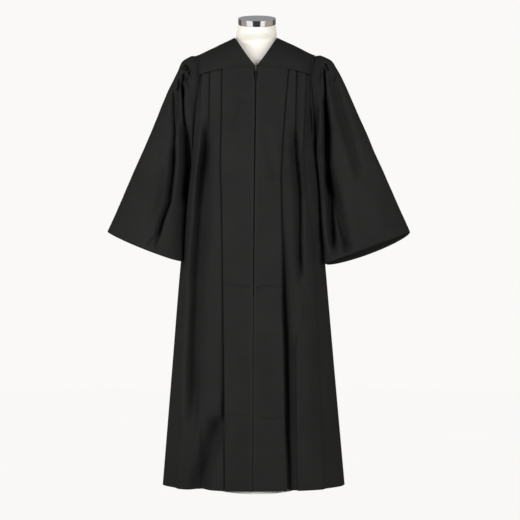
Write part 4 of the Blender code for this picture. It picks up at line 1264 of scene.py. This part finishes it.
def stitches(name, line):
    """A row of short stitches, each a small rounded bead lying along the line."""
    sizes = bpy.context.scene.robe_sizes
    size = Matrix.Diagonal((sizes.thread / 2, sizes.thread / 2, sizes.stitch_pitch * 0.36, 1))
    bm = bmesh.new()
    for place, ahead in zip(*along_line(line, sizes.stitch_pitch)):
        if np.linalg.norm(ahead) > 1e-6:
            turn = Vector(ahead).to_track_quat("Z", "Y").to_matrix().to_4x4()
            matrix = Matrix.Translation(place) @ turn @ size
            bmesh.ops.create_icosphere(bm, subdivisions=1, radius=1.0, matrix=matrix)
    return add_piece(name, mesh_from(name, bm), finish(black_thread))


def level_line(points, height, facing):
    """The line at a height on a grid whose rows run downwards, lifted a little off the cloth."""
    line = []
    for column in range(points.shape[1]):
        z = points[:, column, 2]
        row = min(max(np.searchsorted(-z, -height), 1), len(z) - 1)
        t = (z[row - 1] - height) / max(z[row - 1] - z[row], 1e-9)
        line.append(lerp(points[row - 1, column], points[row, column], np.clip(t, 0, 1)))
    line = np.array(line)
    line[:, 1] += facing * (CLOTH / 2 + STITCH_LIFT)
    return line


def line_from_end(points, distance, closed=False):
    """The line at a distance from a grid's last row, lifted a little off the cloth."""
    done = lengths_along(points, 0)
    left = done[-1:] - done
    normal = normals_of(points, closed)
    line = []
    for column in range(points.shape[1]):
        row = int(np.searchsorted(-left[:, column], -distance))
        row = min(max(row, 1), len(points) - 1)
        span = left[row - 1, column] - left[row, column]
        t = np.clip((left[row - 1, column] - distance) / max(span, 1e-9), 0, 1)
        place = lerp(points[row - 1, column], points[row, column], t)
        line.append((place, normal[row, column]))
    places = np.array([p for p, _ in line])
    normals = np.array([n for _, n in line])
    out = np.sign((normals * (places - points.reshape(-1, 3).mean(axis=0))).sum())
    return places + out * normals * (CLOTH / 2 + STITCH_LIFT)


# A piece's flat cut, of what shows: width and length, and area. No garment was measured.
Flat = namedtuple("Flat", "size area")


class ROBE_OT_fronts(bpy.types.Operator):
    """Make the two pleated fronts, open along the zip, with their hem stitches"""

    bl_idname = "robe.fronts"
    bl_label = "Fronts"

    def execute(self, context):
        for side in ("left", "right"):
            points, pressed = front_points(side)
            name = "front_" + side + "_cloth"
            line = level_line(points, HEM_Z + HEM_BAND, -1)
            sewn = stitches("hem_stitches_" + side, line)
            sewn_piece(
                name, "front_" + side, points, (0, 0.02, 0.6),
                {"pressed": pressed},
            )
        return {"FINISHED"}


class ROBE_OT_back(bpy.types.Operator):
    """Make the pleated back with its hem stitches"""

    bl_idname = "robe.back"
    bl_label = "Back"

    def execute(self, context):
        points, pressed = back_points()
        sewn = stitches("hem_stitches_back", level_line(points, HEM_Z + HEM_BAND, 1))
        sewn_piece(
            "back_cloth", "back", points, (0, -0.02, 0.6),
            {"pressed": pressed},
        )
        return {"FINISHED"}


class ROBE_OT_yokes(bpy.types.Operator):
    """Make the smooth yokes of the shoulders, with their seams and stitches"""

    bl_idname = "robe.yokes"
    bl_label = "Yokes"

    def execute(self, context):
        for side in ("left", "right"):
            points = yoke_points(side, True)
            sewn = stitches("yoke_stitches_" + side, line_from_end(points, STITCH_INSET))
            sewn_piece(
                "yoke_front_" + side + "_cloth", "yoke_front_" + side, points, (0, 0, 1.15),
            )
        points = back_yoke_points()
        sewn = stitches("yoke_stitches_back", line_from_end(points, STITCH_INSET))
        sewn_piece(
            "yoke_back_cloth", "yoke_back", points, (0, 0, 1.15),
        )
        return {"FINISHED"}


class ROBE_OT_sleeves(bpy.types.Operator):
    """Make the gathered bell sleeves with their cuffs"""

    bl_idname = "robe.sleeves"
    bl_label = "Sleeves"

    def execute(self, context):
        for side in ("left", "right"):
            points = sleeve_points(side)
            line = line_from_end(points, CUFF_BAND, closed=True)
            sewn = stitches("cuff_stitches_" + side, line)
            middle = points.mean(axis=(0, 1))
            sewn_piece(
                "sleeve_" + side + "_cloth", "sleeve_" + side, points, tuple(middle),
                closed=True,
            )
        return {"FINISHED"}


# ---------------------------------------------------------------- zip

CORE_WIDTH = 0.0030     # strip that joins the teeth
TOOTH_SIZE = (0.00040, 0.00055, 0.0014)


def zip_place(z):
    """Middle surface of the fronts where they meet, straight between the zip's rows."""
    rows = np.array(ZIP_ROWS)[::-1]
    table = sorted(BODY)
    known = [row.z for row in table]
    centre = np.interp(rows, known, [row.centre for row in table])
    front = np.interp(rows, known, [row.front for row in table])
    return Vector((np.interp(z, rows, centre), -np.interp(z, rows, front), z))


class ROBE_OT_zip(bpy.types.Operator):
    """Make the coil's teeth and finish the tapes, slider and tab"""

    bl_idname = "robe.zip"
    bl_label = "Zip"

    def execute(self, context):
        sizes = context.scene.robe_sizes
        low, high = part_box("zip_coil")
        bm = bmesh.new()
        behind = WALL / 2 + SEAM_GAP + COIL_WALL / 2 + 0.0002
        rows = sorted({low[2], high[2], *(z for z in ZIP_ROWS if low[2] < z < high[2])})
        steps = len(rows) - 1
        core = bmesh.ops.create_grid(bm, x_segments=1, y_segments=steps, size=0.5)["verts"]
        for vert in core:
            place = zip_place(rows[round((vert.co.y + 0.5) * steps)])
            vert.co = place + Vector((vert.co.x * CORE_WIDTH, behind + 0.0005, 0))
        bmesh.ops.solidify(bm, geom=bm.faces[:], thickness=0.0004)
        bmesh.ops.recalc_face_normals(bm, faces=bm.faces)
        count = int((high[2] - low[2] - 0.002) / sizes.tooth_pitch)
        for i in range(count):
            z = low[2] + 0.001 + i * sizes.tooth_pitch
            side = 1 if i % 2 else -1
            place = zip_place(z) + Vector((side * 0.00050, behind - 0.0001, 0))
            lean = Matrix.Rotation(pi / 2, 4, "Y") @ Matrix.Rotation(side * 0.12, 4, "X")
            matrix = Matrix.Translation(place) @ lean @ Matrix.Diagonal((*TOOTH_SIZE, 1))
            bmesh.ops.create_uvsphere(bm, u_segments=6, v_segments=5, radius=1.0, matrix=matrix)
        add_piece(
            "zip_teeth", mesh_from("zip_teeth", bm), finish(zip_coil),
            instead_of=("zip_coil",),
        )
        finishes = {
            "zip_tape_left": zip_tape, "zip_tape_right": zip_tape,
            "zip_slider": zip_metal, "zip_pull_tab": zip_metal,
        }
        for node, make in finishes.items():
            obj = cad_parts[node]
            for slot in obj.material_slots:
                slot.material = finish(make)
        return {"FINISHED"}


# ---------------------------------------------------------------- dress form and stand

Ring = namedtuple("Ring", "z half front back middle tilt power shift")


def form_rings():
    """The form's sections by height; its shoulders lie just under the yoke."""
    rings = [Ring(*row, 2.2, 0.0) for row in FORM]
    slope = (NECK_Z - SHOULDER_Z) / (SHOULDER_X - NECK_X)
    under = (WALL / 2 + SEAM_GAP + 0.0002 + 0.0010) / cos(slope)
    low = shoulder_height(0.160) - under
    for i in range(6):
        z = lerp(low, RIDGE_TOP_Z, i / 5)
        half = NECK_X + (NECK_Z - under - z) / slope
        front, back = lerp(0.067, 0.047, i / 5), lerp(0.059, 0.035, i / 5)
        rings.append(Ring(z, half, front, back, 0.0, 0.0, 1.75, 0.0))
    rings += [Ring(*row, 2.0, 0.0) for row in NECK]
    shifts = [NECK_SHIFT * float(ease((ring.z - 1.30) / 0.06)) for ring in rings]
    return [ring._replace(shift=shift) for ring, shift in zip(rings, shifts)]


def form_points():
    """Grid of points over the torso and neck, its two ends drawn together to close it."""
    rings = form_rings()
    bands = (Band(1.30, 0.06, 0.004), Band(0.616, 0.012, 0.003))
    z = spaced(rings[0].z, rings[-1].z, 0.012, bands)
    ring = blended(rings, z)
    angle = np.linspace(0, 2 * pi, 121)[None, :]
    c, s = np.cos(angle), np.sin(angle)
    half, front, back, middle, tilt, power, shift = (
        getattr(ring, name)[:, None] for name in "half front back middle tilt power shift".split()
    )
    x = half * np.abs(c) ** (2 / power) * np.sign(c)
    y = np.where(s < 0, front, back) * np.abs(s) ** (2 / power) * np.sign(s)
    places = (shift + x, middle + y * np.cos(tilt), z[:, None] + y * np.sin(tilt))
    points = np.stack(places, axis=2)
    seam = np.exp(-((x / 0.0016) ** 2)) * (s < 0) * 0.0007
    points[..., 1] += seam
    ends = []
    for row in (points[0], points[-1]):
        middle = row[:-1].mean(axis=0)
        ends.append([lerp(middle, row, share) for share in (0.0, 0.5, 0.9, 0.985)])
    return np.concatenate((ends[0], points, ends[1][::-1]))


def turned(name, profile, material, node, steps, place=None):
    """A turned piece: a (radius, height) profile spun about Z, then put in place."""
    bm = bmesh.new()
    verts = [bm.verts.new((radius, 0, height)) for radius, height in profile]
    edges = [bm.edges.new(pair) for pair in zip(verts, verts[1:])]
    bmesh.ops.spin(
        bm, geom=verts + edges, cent=(0, 0, 0), axis=(0, 0, 1), angle=2 * pi, steps=steps,
        use_merge=True,
    )
    bmesh.ops.remove_doubles(bm, verts=bm.verts, dist=1e-6)
    bmesh.ops.recalc_face_normals(bm, faces=bm.faces)
    if place:
        bmesh.ops.transform(bm, matrix=place, verts=bm.verts)
    return add_piece(name, mesh_from(name, bm), material, instead_of=(node,))


def rounded(corners, radius=0.0008, steps=4):
    """A profile whose inner corners are rounded off."""
    path = [Vector(corners[0])]
    for before, corner, after in zip(corners, corners[1:], corners[2:]):
        before, corner, after = Vector(before), Vector(corner), Vector(after)
        cut = min(radius, (corner - before).length * 0.45, (after - corner).length * 0.45)
        a = corner + (before - corner).normalized() * cut
        b = corner + (after - corner).normalized() * cut
        for i in range(steps + 1):
            t = i / steps
            path.append(a.lerp(corner, t).lerp(corner.lerp(b, t), t))
    return [tuple(point) for point in path + [Vector(corners[-1])]]


class ROBE_OT_dress_form(bpy.types.Operator):
    """Make the linen torso with its neck and the polished cap"""

    bl_idname = "robe.dress_form"
    bl_label = "Dress Form"

    def execute(self, context):
        mesh = grid_mesh("form_linen", form_points(), (0, 0, 1.0), closed=True)
        add_piece("form_linen", mesh, finish(linen), instead_of=("form_torso",))
        r, h = CAP_RADIUS, CAP_HEIGHT
        profile = rounded(
            [(0, h), (r * 0.5, h), (r, h), (r, h * 0.5), (r, 0), (r * 0.5, 0), (0, 0)], 0.0016, 6
        )
        place = Matrix.Translation(CAP_FOOT) @ Matrix.Rotation(NECK_TILT, 4, "X")
        turned(
            "cap_polished", profile, finish(polished_metal),
            "neck_cap", 128, place,
        )
        return {"FINISHED"}


class ROBE_OT_stand(bpy.types.Operator):
    """Make the painted pole and base"""

    bl_idname = "robe.stand"
    bl_label = "Stand"

    def execute(self, context):
        paint = finish(stand_paint)
        seat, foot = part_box("stand_pole")[1][2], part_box("stand_pole")[0][2]
        r = POLE_RADIUS
        pole = [(0, seat), (0.036, seat), (0.036, seat - 0.005), (r + 0.004, seat - 0.008)]
        pole += [(r + 0.004, seat - 0.030), (r, seat - 0.032), (r, foot), (0, foot)]
        turned("pole_painted", rounded(pole, 0.0010), paint, "stand_pole", 64)
        top, r = BASE_TOP, BASE_RADIUS
        base = [(0, top + 0.016), (0.024, top + 0.016), (0.026, top + 0.014), (0.026, top)]
        base += [(r - 0.003, top), (r, top - 0.003), (r, 0), (0, 0)]
        turned("base_painted", rounded(base, 0.0012), paint, "stand_base", 128)
        return {"FINISHED"}


# ---------------------------------------------------------------- studio


class ROBE_OT_studio(bpy.types.Operator):
    """Make the pale floor, the soft lights, the surroundings and the camera"""

    bl_idname = "robe.studio"
    bl_label = "Studio"

    def execute(self, context):
        scene = context.scene
        studio = scene.robe_studio
        scene.view_settings.view_transform = "Standard"
        self.floor(studio)
        for side in (-1, 1):
            self.softbox(studio, side)
        self.world(studio, scene)
        self.camera(studio, scene)
        return {"FINISHED"}

    def floor(self, studio):
        bm = bmesh.new()
        bmesh.ops.create_circle(bm, cap_ends=True, segments=64, radius=3.2)
        mesh = mesh_from("floor", bm)
        obj = bpy.data.objects.new("floor", mesh)
        bpy.context.scene.collection.objects.link(obj)
        material = bpy.data.materials.new("floor")
        nodes = Nodes(material)
        grain = nodes.noise(nodes.place(), 3.0, 2.0)
        tone = nodes.blend(grain, studio.backdrop, tuple(c * 0.985 for c in studio.backdrop))
        glow = nodes.add("ShaderNodeEmission", {}, {"Color": tone, "Strength": 1.0})
        matt = nodes.add("ShaderNodeBsdfDiffuse", {}, {"Color": tone})
        seen = nodes.add("ShaderNodeLightPath", output="Is Camera Ray")
        both = nodes.add("ShaderNodeMixShader", {}, {0: seen, 1: matt, 2: glow})
        nodes.add("ShaderNodeOutputMaterial", {}, {"Surface": both})
        mesh.materials.append(material)
        obj.visible_glossy = False

    def softbox(self, studio, side):
        angle = radians(studio.key_turn if side < 0 else studio.fill_turn)
        data = bpy.data.lights.new("softbox", "AREA")
        data.shape = "RECTANGLE"
        data.size, data.size_y = SOFTBOX_SIZE
        data.energy = studio.key_power if side < 0 else studio.fill_power
        place = Vector((side * sin(angle), -cos(angle), 0)) * SOFTBOX_DISTANCE
        place.z = SOFTBOX_HEIGHT
        obj = bpy.data.objects.new("softbox", data)
        obj.location = place
        obj.rotation_euler = (LIT_PLACE - place).to_track_quat("-Z", "Y").to_euler()
        obj.visible_camera = obj.visible_glossy = False
        bpy.context.scene.collection.objects.link(obj)

    def world(self, studio, scene):
        world = bpy.data.worlds.new("studio")
        scene.world = world
        nodes = Nodes(world)
        x, y, z = nodes.parts(nodes.place("Generated"))
        turn = nodes.add("ShaderNodeMath", {"operation": "ARCTAN2"}, (x, 0 - y))
        share = turn / (2 * pi) + 0.5
        stripes = nodes.add("ShaderNodeValToRGB", {"stops": STUDIO_STRIPES}, {"Fac": share})
        above = z.between(0.25, 0.40)
        stripes = nodes.blend(above, stripes, studio.ceiling)
        background = nodes.add("ShaderNodeBackground", {}, {"Color": studio.backdrop})
        pale = {"Color": studio.backdrop, "Strength": studio.ambient}
        around = nodes.add("ShaderNodeBackground", {}, pale)
        mirrored = nodes.add("ShaderNodeBackground", {}, {"Color": stripes})
        path = nodes.add("ShaderNodeLightPath", output="Is Camera Ray")
        glossy = Value(nodes, path.socket.node.outputs["Is Glossy Ray"])
        rest = nodes.add("ShaderNodeMixShader", {}, {0: glossy, 1: around, 2: mirrored})
        whole = nodes.add("ShaderNodeMixShader", {}, {0: path, 1: rest, 2: background})
        nodes.add("ShaderNodeOutputWorld", {}, {"Surface": whole})

    def camera(self, studio, scene):
        data = bpy.data.cameras.new("camera")
        data.sensor_width = SENSOR
        data.lens = SENSOR * studio.camera_distance / studio.view_width
        obj = bpy.data.objects.new("camera", data)
        obj.location = (studio.camera_side, -studio.camera_distance, studio.camera_height)
        obj.rotation_euler = (pi / 2, 0, 0)
        scene.collection.objects.link(obj)
        scene.camera = obj


SOFTBOX_SIZE = (1.5, 2.0)
SOFTBOX_DISTANCE = 2.6
SOFTBOX_HEIGHT = 1.35
LIT_PLACE = Vector((0, 0, 0.75))    # where the lights point
SENSOR = 36                         # of the camera, in millimetres
# Around the studio as bright things mirror it, from straight behind, round by the left, front
# and right, to behind again.
STUDIO_STRIPES = (
    (0.000, (0.30, 0.29, 0.27)),
    (0.170, (0.05, 0.05, 0.05)),
    (0.190, (0.38, 0.34, 0.28)),
    (0.300, (0.40, 0.36, 0.30)),
    (0.315, (0.95, 0.95, 0.95)),
    (0.415, (0.95, 0.95, 0.95)),
    (0.425, (0.045, 0.045, 0.048)),
    (0.560, (0.045, 0.045, 0.048)),
    (0.570, (0.95, 0.95, 0.95)),
    (0.640, (0.95, 0.95, 0.95)),
    (0.655, (0.40, 0.36, 0.30)),
    (0.810, (0.38, 0.34, 0.28)),
    (0.830, (0.05, 0.05, 0.05)),
    (1.000, (0.30, 0.29, 0.27)),
)


# ---------------------------------------------------------------- sizes and colours


def length(name, description, default, low, high):
    return FloatProperty(
        name=name, description=description, default=default, min=low, max=high,
        subtype="DISTANCE", unit="LENGTH", precision=5,
    )


def colour(name, description, default):
    return FloatVectorProperty(
        name=name, description=description, default=default, min=0, max=1, size=3,
        subtype="COLOR",
    )


class RobeSizes(bpy.types.PropertyGroup):
    weave: length("Weave", "Distance between the threads of the cloth", 0.0007, 0.0002, 0.004)
    thread: length("Thread", "Thickness of the sewing thread", 0.00045, 0.0001, 0.002)
    stitch_pitch: length("Stitch", "Distance from stitch to stitch", 0.0030, 0.001, 0.02)
    tooth_pitch: length("Tooth", "Distance from tooth to tooth of the zip", 0.0014, 0.0008, 0.01)


class RobeColours(bpy.types.PropertyGroup):
    cloth_dark: colour("Cloth", "Black of the gown cloth", (0.0134, 0.0134, 0.0132))
    cloth_light: colour("Cloth, Paler", "Paler places of the gown cloth", (0.0160, 0.0160, 0.0157))
    # Colour of lint and thread, and of the painted sheen that lightens folded edges.
    cloth_worn: colour("Cloth, Worn", "Pressed folds and lint", (0.0340, 0.0340, 0.0336))
    tape: colour("Tape", "Black of the zip's tapes and coil", (0.0036, 0.0036, 0.0037))
    zip_metal: colour("Zip", "Rubbed metal of the slider", (0.050, 0.050, 0.052))
    zip_dark: colour("Zip, Dull", "Dull metal of the slider", (0.022, 0.022, 0.023))
    linen_light: colour("Linen", "Light threads of the form's cover", (0.86, 0.83, 0.78))
    linen_warm: colour("Linen, Warm", "Warmer places of the cover", (0.80, 0.75, 0.68))
    linen_slub: colour("Linen, Slub", "Thick threads of the cover", (0.66, 0.60, 0.51))
    chrome: colour("Chrome", "Polished cap", (0.86, 0.86, 0.87))
    chrome_dull: colour("Chrome, Dull", "Polishing marks on the cap", (0.68, 0.68, 0.69))
    paint: colour("Paint", "Powder coat of the stand", (0.80, 0.79, 0.77))
    paint_rubbed: colour("Paint, Rubbed", "Rubbed places of the stand", (0.68, 0.67, 0.65))


class RobeStudio(bpy.types.PropertyGroup):
    backdrop: colour("Backdrop", "Colour behind the robe", (0.956, 0.947, 0.930))
    ceiling: colour("Ceiling", "What bright things mirror from above", (0.30, 0.30, 0.31))
    ambient: FloatProperty(name="Ambient", description="Light from all round", default=0.22, min=0)
    key_power: FloatProperty(name="Left Light", description="Power in watts", default=66, min=0)
    fill_power: FloatProperty(name="Right Light", description="Power in watts", default=53, min=0)
    key_turn: FloatProperty(
        name="Left Light Angle", description="Degrees from the front to the light", default=47
    )
    fill_turn: FloatProperty(
        name="Right Light Angle", description="Degrees from the front to the light", default=38
    )
    camera_distance: length("Camera", "From the camera to the middle of the robe", 4.0, 1, 20)
    camera_height: length("Height", "Height of the camera", 0.667, 0, 5)
    camera_side: length("Side", "From the middle of the stand to the camera", 0.01176, -5, 5)
    view_width: length("View", "Width seen at the middle of the robe", 1.5288, 0.1, 10)


class ROBE_PT_panel(bpy.types.Panel):
    """Lists the robe's settings and makes its pieces"""

    bl_idname = "ROBE_PT_panel"
    bl_label = "Choir Robe"
    bl_space_type = "VIEW_3D"
    bl_region_type = "UI"
    bl_category = "Choir Robe"

    def draw(self, context):
        for group in ("robe_sizes", "robe_colours", "robe_studio"):
            box = self.layout.box()
            settings = getattr(context.scene, group)
            for name in settings.__annotations__:
                box.prop(settings, name)
        for operator in OPERATORS:
            self.layout.operator(operator.bl_idname)


OPERATORS = (
    ROBE_OT_fronts,
    ROBE_OT_back,
    ROBE_OT_yokes,
    ROBE_OT_sleeves,
    ROBE_OT_zip,
    ROBE_OT_dress_form,
    ROBE_OT_stand,
    ROBE_OT_studio,
)
GROUPS = {"robe_sizes": RobeSizes, "robe_colours": RobeColours, "robe_studio": RobeStudio}


def register():
    for cls in (*GROUPS.values(), *OPERATORS, ROBE_PT_panel):
        bpy.utils.register_class(cls)
    for name, group in GROUPS.items():
        setattr(bpy.types.Scene, name, PointerProperty(type=group))


def unregister():
    for name in GROUPS:
        delattr(bpy.types.Scene, name)
    for cls in reversed((*GROUPS.values(), *OPERATORS, ROBE_PT_panel)):
        bpy.utils.unregister_class(cls)


def main():
    register()
    for step in OPERATORS:
        group, name = step.bl_idname.split(".")
        getattr(getattr(bpy.ops, group), name)()


if __name__ == "__main__":
    main()
